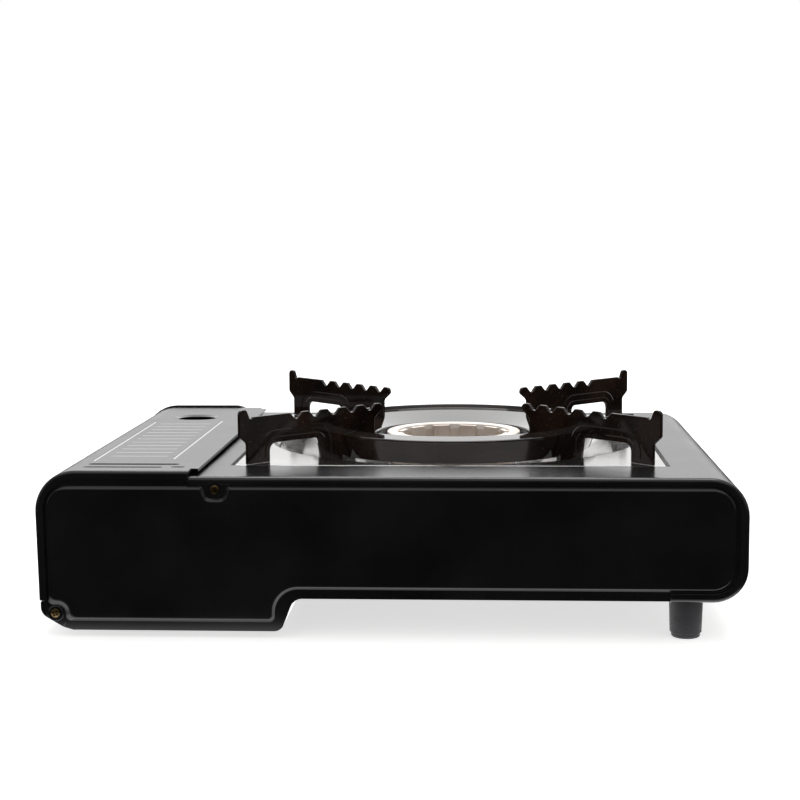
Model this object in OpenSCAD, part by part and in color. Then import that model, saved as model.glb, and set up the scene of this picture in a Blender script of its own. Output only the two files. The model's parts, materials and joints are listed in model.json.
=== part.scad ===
// Portable butane cassette stove: one burner on the left, fuel bay with a hinged lid on the right.
// Millimetres. +X towards the fuel bay, -Y towards the controls, +Z up, origin under the middle.

/* [Body] */
// Width of the body, side to side
body_w = 340; // [334:1:348]
// Depth of the body between its two end panels
body_d = 254; // [250:1:262]
// Height of the deck above the table
deck_h = 78.5; // [77:0.5:81]
// Height of the burner side's floor above the table
floor_h = 19.5; // [18.5:0.5:20.5]
// Height of the fuel bay's floor above the table
well_h = 3.5; // [3:0.5:4.5]
// Thickness of the painted sheet steel
sheet_t = 0.8; // [0.6:0.1:1]
// Outer radius of the cover's upper bend
cover_r = 18.5; // [16:0.5:20]
// Outer radius of the cover's lower bend
wrap_r = 22; // [20:0.5:23]
// How far the cover runs in under the floor
wrap_in = 36.6; // [35:0.1:40]
// Where the floor drops to the fuel bay, from the bay side
step_in = 124.5; // [122:0.5:126]
// Width of the sloping step in the floor
step_w = 6.2; // [5:0.1:8]

/* [End panels] */
// Height of the pressed field above its border
field_h = 1.4; // [1.2:0.1:1.6]
// Width of the cover's folded flange
flange_w = 4.6; // [4:0.1:5]
// Width of the cover's flange along the deck
flange_top = 3.7; // [3.4:0.1:4.2]
// Width of the groove between a flange and the pressed field
groove_w = 0.9; // [0.6:0.1:1.2]
// Width of the border along the bottom
border_w = 4.9; // [4.5:0.1:5.5]
// Radius of the panel screws' shank
screw_r = 1.5; // [1.2:0.1:1.6]
// Radius of the panel screws' head
screw_head_r = 2.3; // [2.1:0.1:2.5]
// Distance of the upper screw from the bay side
screw_in = 87.5; // [86:0.5:90]
// Radius of the pressed bay around the upper screw
screw_bay_r = 5.2; // [4.6:0.1:5.6]

/* [Lid] */
// Width of the lid, from its side to its inner edge
lid_w = 78.6; // [78:0.1:80]
// How far the lid stands above the deck
lid_rise = 2.8; // [2.4:0.1:3.4]
// Radius of the lid's long bend
lid_r = 20; // [18:0.5:22]
// How far the side of the lid leans in at its foot
lid_lean = 2; // [1.6:0.1:2.2]
// Width of the lid's end flanges
lid_flange = 4; // [3.6:0.1:4.2]
// Width of the relief cut at the lid's inner corners
relief_w = 5; // [4.8:0.1:6]
// Width of the notch at the lid's inner corners
notch_w = 3.6; // [3:0.1:4.6]
// Length of the relief cut at the lid's inner corners
relief_l = 8; // [6:0.5:10]
// Height of the hinge pin above the table
hinge_h = 16; // [15:0.5:17]
// Radius of the hinge pin
hinge_pin_r = 1; // [0.8:0.1:1.1]
// Wall of the rolled hinge knuckle
knuckle_t = 0.6; // [0.5:0.1:0.7]
// Length of one lid knuckle
knuckle_l = 30; // [24:1:36]
// Length of the finger hole
finger_l = 24; // [22:1:30]
// Width of the finger hole
finger_w = 18; // [16:1:20]
// Distance of the finger hole from the front
finger_in = 55; // [50:1:60]
// Distance of the finger hole from the outer side of the lid
finger_side = 42.6; // [40:0.1:46]
// Depth of the dish pressed around the finger hole
finger_dish = 1.5; // [1:0.1:2]
// Width of the dish's sloping wall
finger_slope = 4; // [3:0.1:5]
// Length of the stiffening groove at the lid's back end
groove_l = 48; // [40:1:52]
// Width of the stiffening groove
lid_groove_w = 3.4; // [3:0.1:4]
// Depth of the stiffening groove
lid_groove_d = 0.7; // [0.5:0.1:0.9]
// Distance of the stiffening groove from the lid's back end
groove_in = 21; // [18:0.5:24]

/* [Burner opening] */
// Width of the opening in the deck
cut_w = 216.6; // [214:0.1:218]
// Depth of the opening in the deck
cut_d = 208; // [206.4:0.1:209]
// Width of the deck strip between the lid and the opening
strip_w = 11.1; // [10:0.1:12]
// Width of the deck strip behind the opening
back_strip = 36.5; // [35:0.5:38]
// Depth of the edge turned down around the opening
edge_drop = 1.4; // [1:0.1:2.4]
// Depth of the drip tray below the deck
tray_depth = 12; // [11:0.5:14]
// Thickness of the drip tray
tray_t = 0.5; // [0.4:0.1:0.7]
// Width of the tray's rim under the deck
tray_rim = 5; // [4:0.5:6]
// Gap between the opening's edge and the tray's raised rim
tray_gap = 1.2; // [0.8:0.1:1.6]
// How far the tray's raised rim lies below the deck
tray_sink = 0.2; // [0:0.1:0.6]
// Radius of the tray's flat middle
tray_flat_r = 50; // [46:0.5:54]
// Width of the tray's shallow cone
tray_cone_w = 46.5; // [46:0.1:47]
// Rise of the cone from the flat middle to its outer edge
tray_cone_h = 7.8; // [7:0.1:8.6]
// Width of the tray's steep wall
tray_wall_w = 4; // [3.4:0.1:4.4]

/* [Pan support] */
// Outer radius of the ring
ring_r = 80.4; // [78:0.1:80.6]
// Height of the ring's rim above the deck
ring_rise = 9.2; // [8.6:0.1:9.8]
// Height of the ring's outer wall
ring_wall_h = 10.5; // [9:0.5:11.5]
// Thickness of the ring's sheet
ring_t = 1.2; // [1:0.1:1.4]
// Radius of the ring's hole around the burner
ring_hole_r = 43; // [42:0.5:45]
// How far the ring's dish falls from its rim to its hole
dish_fall = 5.4; // [4.6:0.1:6]
// Height of the fin's teeth above the deck
tooth_rise = 23.5; // [23:0.1:25]
// Height of the fin's horn above its teeth
horn_rise = 3.9; // [3:0.1:4.5]
// Thickness of a fin
fin_t = 1.8; // [1.4:0.1:2]
// How far the horns reach past the opening's front and back edges, along the fin
horn_over = 0.12; // [0:0.02:0.4]
// Distance of the fin's inner tip from the burner's middle
tip_r = 53; // [52:0.5:56]
// Distance between two teeth
tooth_pitch = 12.3; // [12:0.1:12.4]
// Number of notches between the tip and the flat
notch_count = 5; // [4:1:5]
// Depth of a notch
notch_depth = 3.2; // [2.6:0.1:3.4]
// Width of a tooth's flat top
tooth_w = 4.3; // [3.6:0.1:5]
// Width of the rib pressed round a fin's window
fin_rib_w = 4; // [3:0.1:5]
// Height of the rib above the fin's side
fin_rib_h = 0.5; // [0.3:0.1:0.7]
// Distance of the rib from the window
fin_rib_in = 2.6; // [2:0.1:3.4]

/* [Burner] */
// Outer radius of the burner head
head_r = 36.9; // [35:0.1:37.5]
// Radius of the burner head's opening
throat_r = 30; // [29:0.1:30.5]
// Height of the burner head above the deck
head_rise = 3.8; // [3:0.1:4.6]
// Height of the burner head
head_h = 14; // [12:0.5:15]
// Number of flame port blocks
port_count = 12; // [8:2:14]
// Outer radius of the burner bowl
bowl_r = 34; // [32:0.5:35]
// Height of the burner bowl
bowl_h = 25; // [24:0.5:26]
// Radius of the mixing tube
tube_r = 7.5; // [6.5:0.1:7.8]
// Wall of the mixing tube
tube_t = 0.8; // [0.6:0.1:1]

/* [Fuel bay] */
// Radius of the gas canister that the bay takes
can_r = 34; // [33.5:0.1:34.2]
// Height of the canister's axis above the table
can_h = 41.5; // [41:0.5:43]
// Radius of the canister's collar
collar_r = 21; // [20.5:0.1:21.5]
// Depth of the collar's seat in the locating ring
seat_depth = 6; // [5:0.5:7]
// Length of the regulator's body
valve_l = 24; // [22:1:26]

/* [Controls] */
// How far the knob stands out of the front panel
knob_reach = 18; // [17:0.5:20]
// Radius of the control knob
knob_r = 24; // [22:0.5:26]
// Radius of the valve's spindle
spindle_r = 3; // [2.5:0.1:3.4]
// Thickness of the control fascia
fascia_t = 2.5; // [2:0.1:3]
// How far the fascia stands above the lid
fascia_lip = 1; // [0.8:0.1:1.4]
// Width of the cartridge lever's handle
lever_w = 18; // [14:1:20]
// Distance of the cartridge lever from the bay side
lever_in = 98; // [96:1:100]
// Travel of the cartridge lever
lever_travel = 14; // [12:1:16]
// Travel of the hook that draws the canister in
hook_travel = 5; // [4:0.5:6]

/* [Feet] */
// Radius of a tall foot at the floor
foot_r = 8.1; // [7:0.1:9]
// Radius of a foot's tip
foot_tip_r = 6.9; // [6:0.1:7.2]
// Height of a foot's tip
foot_tip_h = 2.2; // [1.8:0.1:2.8]
// Distance of a tall foot's axis from its end panel
foot_in = 12.7; // [12:0.1:16]
// Distance of a low foot's axis from its end panel
low_foot_end = 40; // [36:1:44]
// Distance of the tall feet from the body's side
tall_foot_in = 28; // [27:0.5:30]
// Distance of the low feet from the bay side
low_foot_in = 32; // [30:1:34]

/* [Hidden] */
arc_n = 8;
fine = 48;
// Clearances: between still neighbours, and beside anything that moves
fit_gap = 0.1;
run_gap = 0.3;
pin_gap = 0.05;
lid_end_gap = 0.2;
past = 1;
steel = "#1b1b1a";
enamel = "#231d1a";
bright = "#c8c8ca";
brass = "#b08d4a";
alloy = "#dedbd4";
plastic = "#161616";
zinc = "#a08a58";

half_w = body_w / 2;
front_y = (knob_reach - body_d) / 2;
back_y = front_y + body_d;
flange_set = field_h - sheet_t;
wrap_front = front_y + flange_set;
wrap_back = back_y - flange_set;
inner_front = front_y + field_h + sheet_t;
inner_back = back_y - field_h - sheet_t;
under_deck = deck_h - sheet_t;
lid_x = half_w - lid_w;
lid_h = deck_h + lid_rise;
cut_x1 = lid_x - strip_w;
cut_x0 = cut_x1 - cut_w;
cut_y1 = back_y - back_strip;
cut_y0 = cut_y1 - cut_d;
burner_x = (cut_x0 + cut_x1) / 2;
burner_y = (cut_y0 + cut_y1) / 2;
// The fins stand on the opening's diagonals at 45 degrees
fin_r = cut_d / sqrt(2) + horn_over;
// The floor's step, the bay's lower corner and the base's bay side
step_x = half_w - step_in;
bay_side_x = half_w - 3 - sheet_t;
bay_chamfer_x = bay_side_x - 16.5;
bay_chamfer_z = well_h + 7.5;
bay_wall_h = hinge_h + 19;
ledge_x = lid_x + relief_w - run_gap - sheet_t;
hinge_x = half_w - lid_lean + 0.2;
knuckle_r = hinge_pin_r + knuckle_t;
hinge_end = 24;
floor_top = floor_h + sheet_t;
well_top = well_h + sheet_t;
tray_floor = deck_h - tray_depth;
rim_h = deck_h + ring_rise;
tooth_h = deck_h + tooth_rise;
head_h_top = deck_h + head_rise;
bowl_top = head_h_top - head_h;
can_x = (ledge_x + sheet_t + half_w - sheet_t) / 2;
ring_front = front_y + 38;

function flat(p) = [p[0], p[1]];
function unit(v) = v / norm(v);
function left(v) = [-v[1], v[0]];
function cross_z(a, b) = a[0] * b[1] - a[1] * b[0];
function reversed(p) = [for (i = [len(p) - 1:-1:0]) p[i]];
// A round corner at p between its neighbours a and b, drawn as an arc of radius r
function corner(a, p, b, r) =
    let (u = unit(a - p), v = unit(b - p), half = acos(u * v) / 2,
         c = p + unit(u + v) * r / sin(half), s = p + u * r / tan(half) - c, e = p + v * r / tan(half) - c,
         from = atan2(s[1], s[0]), turn = atan2(cross_z(s, e), s * e))
    [for (i = [0:arc_n]) c + r * [cos(from + turn * i / arc_n), sin(from + turn * i / arc_n)]];
// A closed outline of [x, y, radius] corners, and an open path of them
function outline(p) = [for (i = [0:len(p) - 1])
    let (n = len(p), a = flat(p[(i + n - 1) % n]), b = flat(p[(i + 1) % n]))
    each (p[i][2] > 0 ? corner(a, flat(p[i]), b, p[i][2]) : [flat(p[i])])];
function path(p) = [for (i = [0:len(p) - 1])
    each (i > 0 && i < len(p) - 1 && p[i][2] > 0
        ? corner(flat(p[i - 1]), flat(p[i]), flat(p[i + 1]), p[i][2]) : [flat(p[i])])];
// One corner moved d to the left of the way from a to b, its radius changed to match
function moved_corner(a, p, b, d) =
    let (u = unit(p - a), v = unit(b - p), n = (left(u) + left(v)) / (1 + u * v), turn = cross_z(u, v))
    [p[0] + d * n[0], p[1] + d * n[1], turn];
function new_r(r, turn, d) = r > 0 ? max(r - sign(turn) * d, 0.05) : 0;
function inset(p, d) = [for (i = [0:len(p) - 1])
    let (n = len(p), m = moved_corner(flat(p[(i + n - 1) % n]), flat(p[i]), flat(p[(i + 1) % n]), d))
    [m[0], m[1], new_r(p[i][2], m[2], d)]];
function moved(p, d) = [for (i = [0:len(p) - 1])
    let (n = len(p), q = flat(p[i]),
         a = i > 0 ? flat(p[i - 1]) : 2 * q - flat(p[1]),
         b = i < n - 1 ? flat(p[i + 1]) : 2 * q - flat(p[n - 2]),
         m = moved_corner(a, q, b, d))
    [m[0], m[1], new_r(p[i][2], m[2], d)]];
// A sheet of thickness t on the left of an open path
function sheet(p, t) = concat(path(p), reversed(path(moved(p, t))));

// An X-Z outline carried along Y from y0 to y1
module along_y(y0, y1) {
    translate([0, y1, 0])
        rotate([90, 0, 0])
            linear_extrude(y1 - y0)
                children();
}
module box(from, to) {
    translate(from)
        cube(to - from);
}
// A cylinder along Y from y0 to y1
module rod_y(x, y0, y1, z, r) {
    translate([x, y1, z])
        rotate([90, 0, 0])
            cylinder(h = y1 - y0, r = r, $fn = fine);
}
module post(x, y, z0, z1, r) {
    translate([x, y, z0])
        cylinder(h = z1 - z0, r = r, $fn = fine);
}

// Outer skin of the deck, its side and its lower wrap, counter-clockwise from the bay
cover_path = [[ledge_x + sheet_t, deck_h, 0], [-half_w, deck_h, cover_r],
    [-half_w, floor_h - sheet_t, wrap_r], [-half_w + wrap_in, floor_h - sheet_t, 0]];
// Outer skin of the base, from under the cover's wrap to the bay's side
base_path = [[-half_w + wrap_r, floor_h, 0], [step_x, floor_h, 6], [step_x + step_w, well_h, 5],
    [bay_chamfer_x, well_h, 10], [bay_side_x - 1.2, bay_chamfer_z, 6], [bay_side_x, hinge_h, 3],
    [bay_side_x, bay_wall_h, 0]];
lid_path = [[lid_x, deck_h + run_gap, 0], [lid_x, lid_h, 1.2], [half_w, lid_h, lid_r],
    [half_w - lid_lean, hinge_h + knuckle_r + run_gap, 0]];
panel_low = [[-half_w, floor_h, wrap_r], [step_x, floor_h, 6], [step_x + step_w, well_h, 5],
    [bay_chamfer_x, well_h, 10], [half_w - lid_lean, bay_chamfer_z + 0.6, 5],
    [half_w - lid_lean, hinge_h + knuckle_r - fit_gap, 0.8], [bay_side_x + 2 * fit_gap,
        hinge_h + knuckle_r - fit_gap, 0]];
lid_seat = lid_h - sheet_t - run_gap;
panel_edge = sheet_t + fit_gap;
panel_outline = concat([[-half_w + panel_edge, floor_h, wrap_r - panel_edge]],
    [for (i = [1:6]) panel_low[i]],
    [[half_w - sheet_t - 3, lid_seat, lid_r - 3], [lid_x + relief_w + sheet_t, lid_seat, 0],
     [lid_x + relief_w + sheet_t, under_deck - fit_gap, 0],
     [-half_w + panel_edge, under_deck - fit_gap, cover_r - panel_edge]]);

// The pressed field of an end panel, with its bays around the two screws
field_in = flange_w + groove_w;
screw_low = [bay_side_x - 5.2, hinge_h - 4.2];
screw_top = [half_w - screw_in, deck_h - flange_top - screw_head_r - 2 * fit_gap];
field_low = well_h + border_w;
field_mid = floor_h + border_w;
field_top = deck_h - flange_top - groove_w - run_gap;
field_step = step_x + step_w + 2.6;
field_side = half_w - lid_flange - groove_w;
field_outline = [[-half_w + field_in, field_mid, 15], [field_step, field_mid, 11], [field_step, field_low, 2],
    [screw_low[0] - 9.6, field_low, 3], [screw_low[0] - 8.6, screw_low[1] + 9, 8],
    [field_side - 2, screw_low[1] + 9.8, 2.5], [field_side, field_top, 10.5],
    [screw_top[0] + screw_bay_r, field_top, 1.4], [screw_top[0] + screw_bay_r - 1, screw_top[1] - 4.4, 3.4],
    [screw_top[0] - screw_bay_r + 1, screw_top[1] - 4.4, 3.4], [screw_top[0] - screw_bay_r, field_top, 1.4],
    [-half_w + field_in, field_top, 12]];
field_steps = 4;
// Inset and height of one step of the field's rounded edge
function edge_in(k) = field_h * (1 - cos(90 * k / field_steps));
function edge_up(k) = field_h * sin(90 * k / field_steps);

// An end panel facing +Y with its border's outer face at y = 0
module end_panel() {
    difference() {
        union() {
            along_y(-sheet_t, 0)
                polygon(outline(panel_outline));
            for (k = [0:field_steps - 1])
                along_y(-sheet_t / 2, edge_up(k + 1))
                    polygon(outline(inset(field_outline, edge_in(k))));
        }
        along_y(-sheet_t - past, field_h - sheet_t)
            polygon(outline(inset(field_outline, field_h + sheet_t / 2)));
        for (s = [screw_low, screw_top])
            rod_y(s[0], -sheet_t - past, past, s[1], screw_r + fit_gap);
    }
}

module back_panel() {
    color(steel)
        translate([0, back_y - field_h, 0])
            end_panel();
}

knob_x = can_x;
knob_z = can_h;
lever_x = half_w - lever_in;
lever_z = 52;
lever_slot_w = 4;
lever_hole_h = lever_travel + 9;
module front_panel() {
    color(steel)
        difference() {
            translate([0, front_y + field_h, 0])
                mirror([0, 1, 0])
                    end_panel();
            rod_y(knob_x, front_y - past, inner_front + past, knob_z, spindle_r + 2);
            box([lever_x - lever_slot_w, front_y - past, lever_z - lever_travel - 5],
                [lever_x + lever_slot_w, inner_front + past, lever_z + 5]);
        }
}

vent_rows = 5;
vent_w = 3;
module base_pan() {
    color(steel)
        difference() {
            union() {
                along_y(inner_front, inner_back)
                    polygon(sheet(base_path, sheet_t));
                for (end = [0, 1])
                    base_knuckles(end);
            }
            for (i = [0:vent_rows - 1])
                box([burner_x - 60 + 24 * i, burner_y - 46, floor_h - past],
                    [burner_x - 60 + 24 * i + vent_w, burner_y - 12, floor_top + past]);
            for (s = bracket_feet())
                post(s[0], s[1], floor_h - past, floor_top + past, screw_r + fit_gap);
        }
}
// Middle of the hinge knuckles at the front (0) and the back (1) of the lid
function hinge_y(end) = end == 0 ? wrap_front + hinge_end + knuckle_l / 2 : wrap_back - hinge_end - knuckle_l / 2;
base_knuckle_l = knuckle_l / 2;
module base_knuckles(end) {
    for (side = [-1, 1])
        translate([0, hinge_y(end) + side * (knuckle_l / 2 + run_gap + base_knuckle_l / 2), 0])
            difference() {
                union() {
                    rod_y(hinge_x, -base_knuckle_l / 2, base_knuckle_l / 2, hinge_h, knuckle_r);
                    box([bay_side_x - sheet_t, -base_knuckle_l / 2, hinge_h - knuckle_r],
                        [hinge_x, base_knuckle_l / 2, hinge_h - knuckle_r + knuckle_t]);
                }
                rod_y(hinge_x, -base_knuckle_l, base_knuckle_l, hinge_h, hinge_pin_r + fit_gap);
            }
}

module top_cover() {
    color(steel)
        difference() {
            union() {
                along_y(wrap_front, wrap_back)
                    polygon(sheet(cover_path, sheet_t));
                for (y = [wrap_front, wrap_back - sheet_t])
                    along_y(y, y + sheet_t)
                        polygon(concat(path(flange_path), reversed(path(flange_inner))));
                box([cut_x0 - sheet_t, cut_y0 - sheet_t, under_deck - edge_drop], [cut_x1 + sheet_t,
                    cut_y1 + sheet_t, deck_h]);
            }
            box([cut_x0, cut_y0, under_deck - edge_drop - past], [cut_x1, cut_y1, deck_h + past]);
        }
}
flange_path = [[lid_x - run_gap, deck_h, 0], cover_path[1], cover_path[2], cover_path[3]];
flange_inner = [[lid_x - run_gap, deck_h - flange_top, 0],
    [flange_w - half_w, deck_h - flange_top, cover_r - flange_w],
    [flange_w - half_w, floor_h - sheet_t + flange_w, wrap_r - flange_w],
    [wrap_in - half_w, floor_h - sheet_t + flange_w, 0]];

// Wall between the burner side and the fuel bay
tube_angle = atan2(burner_y - (ring_front - 12), burner_x - (can_x - 24));
tube_z = head_h_top - head_h - bowl_h + tube_r + 3.5;
hook_z = can_h - 14;
hook_y = ring_front + 1 + hook_travel;
hook_t = 2;
strip_y = burner_y + 34;
strip_z = can_h + 6;
strip_t = 1.2;
strip_l = 26;
wire_hole = [ring_front - 21, deck_h - 12];
wire_r = 1.2;
module bay_partition() {
    color(steel)
        difference() {
            union() {
                box([ledge_x, inner_front, well_top], [ledge_x + sheet_t, inner_back, under_deck]);
                box([ledge_x - 10, inner_front, well_top], [ledge_x, inner_back, well_top + sheet_t]);
            }
            translate([burner_x, burner_y, tube_z])
                rotate([0, 90, tube_angle + 180])
                    cylinder(h = body_w, r = tube_r + 1, $fn = fine);
            box([ledge_x - past, hook_y - hook_travel - 1, hook_z - 5],
                [ledge_x + past + sheet_t, hook_y + hook_t + 1, hook_z + 5]);
            box([ledge_x - past, strip_y - strip_l / 2 - 1, strip_z],
                [ledge_x + past + sheet_t, strip_y + strip_l / 2 + 1, strip_z + strip_t + 1]);
            translate([ledge_x - past, wire_hole[0], wire_hole[1]])
                rotate([0, 90, 0])
                    cylinder(h = sheet_t + 2 * past, r = 2 * wire_r, $fn = fine);
        }
}

// Polished tray: a round dish in a square rim, which stands in the deck's opening and hooks under its edge
tray_top = deck_h - tray_sink;
tray_cone_r = tray_flat_r + tray_cone_w;
tray_mouth_r = tray_cone_r + tray_wall_w;
// Height of the tray's cone at a radius
function tray_z(r) = tray_floor + (r - tray_flat_r) * tray_cone_h / tray_cone_w;
dish_path = [[bowl_r + 1.5, tray_floor, 0], [tray_flat_r, tray_floor, 6], [tray_cone_r, tray_floor + tray_cone_h, 2],
    [tray_mouth_r, tray_top, 1.5], [tray_mouth_r + 1.6, tray_top, 0]];
// Square plate round the opening from height z0 to z1, reaching out by grow
module opening_plate(grow, z0, z1) {
    box([cut_x0 - grow, cut_y0 - grow, z0], [cut_x1 + grow, cut_y1 + grow, z1]);
}
module drip_tray() {
    hook_top = under_deck - edge_drop - fit_gap;
    color(bright)
        union() {
            difference() {
                opening_plate(-tray_gap, hook_top - tray_t, tray_top);
                opening_plate(-tray_gap - tray_t, hook_top - tray_t - past, tray_top - tray_t);
                post(burner_x, burner_y, tray_top - 2 * tray_t, tray_top + past, tray_mouth_r + 1);
            }
            difference() {
                opening_plate(tray_rim, hook_top - tray_t, hook_top);
                opening_plate(-tray_gap - tray_t / 2, hook_top - tray_t - past, hook_top + past);
            }
            translate([burner_x, burner_y, 0])
                rotate_extrude($fn = 2 * fine)
                    polygon(concat(path(dish_path), reversed(path(moved(dish_path, -tray_t)))));
        }
}

// Lid: its long bend, folded end flanges, relief cuts and the finger hole
module lid() {
    finger_y = front_y + finger_in;
    finger_x = half_w - finger_side;
    lid_front = wrap_front - lid_end_gap;
    lid_back = wrap_back + lid_end_gap;
    groove_y = lid_back - groove_in;
    lid_flange_path = concat([[lid_x + relief_w, lid_h, 0]], [for (i = [2:3]) lid_path[i]]);
    color(steel)
        difference() {
            union() {
                along_y(lid_front, lid_back)
                    polygon(reversed(concat(path(lid_path), reversed(path(moved(lid_path, -sheet_t))))));
                for (y = [lid_front, lid_back - sheet_t])
                    along_y(y, y + sheet_t)
                        polygon(concat(path(lid_flange_path), reversed(path(moved(lid_flange_path,
                            -lid_flange)))));
                for (end = [0, 1])
                    lid_knuckle(end);
                pressing(finger_x, finger_y, finger_l, finger_w, lid_h - sheet_t - finger_dish,
                    lid_h - sheet_t + fit_gap, finger_slope);
                pressing(finger_x, groove_y, groove_l, lid_groove_w - 2 * lid_groove_d,
                    lid_h - sheet_t - lid_groove_d,
                    lid_h - sheet_t + fit_gap, lid_groove_d);
            }
            pressing(finger_x, finger_y, finger_l, finger_w, lid_h - finger_dish, lid_h + fit_gap,
                finger_slope);
            pressing(finger_x, groove_y, groove_l, lid_groove_w - 2 * lid_groove_d, lid_h - lid_groove_d,
                lid_h + fit_gap, lid_groove_d);
            for (y = [lid_front - past, lid_back - relief_l])
                box([lid_x - past, y, deck_h], [lid_x + notch_w, y + relief_l + past, lid_h + past]);
            for (side = [-1, 1])
                post(finger_x + side * (finger_l - finger_w) / 2, finger_y, deck_h, lid_h + past,
                    finger_w / 2);
            box([finger_x - (finger_l - finger_w) / 2, finger_y - finger_w / 2, deck_h],
                [finger_x + (finger_l - finger_w) / 2, finger_y + finger_w / 2, lid_h + past]);
            for (end = [0, 1])
                rod_y(hinge_x, hinge_y(end) - knuckle_l, hinge_y(end) + knuckle_l, hinge_h,
                    hinge_pin_r + pin_gap);
        }
}
// Tapered slot from the floor of a pressing up to its mouth, which is wider by the slope all round
module pressing(x, y, l, w, z0, z1, slope) {
    for (side = [-1, 1])
        translate([x + side * (l - w) / 2, y, z0])
            cylinder(h = z1 - z0, r1 = w / 2, r2 = w / 2 + slope, $fn = fine);
    translate([x - (l - w) / 2, y, z0])
        rotate([90, 0, 90])
            linear_extrude(l - w)
                polygon([[-w / 2, 0], [w / 2, 0], [w / 2 + slope, z1 - z0], [-w / 2 - slope, z1 - z0]]);
}
module lid_knuckle(end) {
    rod_y(hinge_x, hinge_y(end) - knuckle_l / 2, hinge_y(end) + knuckle_l / 2, hinge_h, knuckle_r);
    box([half_w - lid_lean - sheet_t, hinge_y(end) - knuckle_l / 2, hinge_h],
        [half_w - lid_lean, hinge_y(end) + knuckle_l / 2, hinge_h + knuckle_r + 1.5 * run_gap]);
}
module lid_hinge_pins() {
    reach = knuckle_l / 2 + run_gap + base_knuckle_l;
    color(zinc)
        for (end = [0, 1])
            rod_y(hinge_x, hinge_y(end) - reach, hinge_y(end) + reach, hinge_h, hinge_pin_r);
}

// Section of the pan ring in radius and height: outer wall, rolled rim, shallow dish, hole lip
ring_low = rim_h - ring_wall_h;
hole_h = rim_h - 1.2 - dish_fall;
ring_path = [[ring_r - 4.4, ring_low, 0], [ring_r, rim_h - 1.6, 2], [ring_r - 2.6, rim_h + 0.2, 1.8],
    [ring_r - 5, rim_h - 1.2, 2], [ring_hole_r, hole_h, 1.5], [ring_hole_r, hole_h - 5, 0]];
module pan_ring() {
    color(enamel)
        translate([burner_x, burner_y, 0])
            rotate_extrude($fn = 2 * fine)
                polygon(sheet(ring_path, ring_t));
}

// A fin's side, in radius and height: horn, flat, notches, tip, two legs and their window
horn_w = 4.6;
leg_in = 4.6;
leg_out_w = 14.2;
leg_in_r = ring_r + 0.4;
leg_in_w = 14.2;
window_h = 9.3;
first_notch = tip_r + 9;
half_notch = (tooth_pitch - tooth_w) / 2;
notch_point = notch_depth + 0.75;
notch_corners = [for (i = [0:notch_count - 1])
    let (r = first_notch + i * tooth_pitch)
    each [[r - half_notch, tooth_h, 0.9], [r, tooth_h - notch_point, 1.8], [r + half_notch, tooth_h, 0.9]]];
module fin_section() {
    leg_top = deck_h + 10.4;
    foot_low = tray_top + fit_gap;
    leg_in_end = leg_in_r + leg_in_w;
    difference() {
        polygon(outline(concat([[tip_r, tooth_h, 2.4]], notch_corners,
            [[fin_r - 8.8, tooth_h, 0.8], [fin_r - 6.8, tooth_h - 1.4, 1], [fin_r - horn_w,
                tooth_h + horn_rise, 1.8],
            [fin_r, tooth_h + horn_rise, 2.3], [fin_r, leg_top + 4, 1.5], [fin_r - leg_in, leg_top, 2],
            [fin_r - leg_in, foot_low, 0], [fin_r - leg_in - leg_out_w, foot_low, 0],
            [fin_r - leg_in - leg_out_w, deck_h + window_h, 4], [leg_in_r + leg_in_w + 2,
                deck_h + window_h, 3],
            [leg_in_end, tray_z(leg_in_end) + fit_gap, 0], [leg_in_r, tray_z(leg_in_r) + fit_gap, 0], [leg_in_r, ring_low, 0],
            [tip_r + 5.6, ring_low, 0],
            [tip_r + 5.6, tooth_h - 7.5, 2.5], [tip_r, tooth_h - 3.4, 1]])));
        polygon(concat([[leg_in_r, ring_low - past]], path(moved(ring_path, -fit_gap)), [[0, hole_h - 5],
            [0, ring_low - past]]));
    }
}
// Rib pressed round the window: raised on one side of the fin and sunk in the other
module fin_rib(grow) {
    outer_r = fin_r - leg_in - leg_out_w + fin_rib_in + grow;
    inner_r = leg_in_r + leg_in_w - fin_rib_in - grow;
    outer_low = tray_top + 2 + grow;
    inner_low = tray_z(leg_in_r + leg_in_w) + 3 + grow;
    rib_z = deck_h + window_h + fin_rib_in + grow;
    band = fin_rib_w - 2 * grow;
    polygon(outline([[outer_r, outer_low, 1], [outer_r, rib_z, 6.6], [inner_r, rib_z, 5.6], [inner_r, inner_low, 1],
        [inner_r - band, inner_low, 1], [inner_r - band, rib_z + band, 9.6],
        [outer_r + band, rib_z + band, 10.6], [outer_r + band, outer_low, 1]]));
}
module fin(angle) {
    color(enamel)
        translate([burner_x, burner_y, 0])
            rotate([90, 0, angle])
                translate([0, 0, -fin_t / 2])
                    difference() {
                        union() {
                            linear_extrude(fin_t)
                                fin_section();
                            linear_extrude(fin_t + fin_rib_h)
                                fin_rib(0);
                        }
                        translate([0, 0, -past])
                            linear_extrude(past + fin_rib_h)
                                fin_rib(fin_rib_h);
                    }
}
module fin_back_bay() { fin(45); }
module fin_back_side() { fin(135); }
module fin_front_side() { fin(225); }
module fin_front_bay() { fin(315); }

// Inner-flame burner head: flat rim, throat and a row of port blocks
port_w = 9;
port_t = 3;
port_h = 6;
module burner_head() {
    color(alloy)
        translate([burner_x, burner_y, 0])
            union() {
                rotate_extrude($fn = 2 * fine)
                    polygon(outline([[throat_r, bowl_top, 0], [bowl_r - 1, bowl_top, 0], [bowl_r - 1,
                        head_h_top - 6, 1],
                        [head_r, head_h_top - 2.4, 1], [head_r, head_h_top, 0.8], [throat_r + 1,
                            head_h_top, 0.8],
                        [throat_r, head_h_top - 3, 1]]));
                for (i = [0:port_count - 1])
                    rotate([0, 0, (i + 0.5) * 360 / port_count])
                        translate([throat_r - port_t, -port_w / 2, bowl_top])
                            cube([port_t + 1, port_w, port_h]);
            }
}

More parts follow.
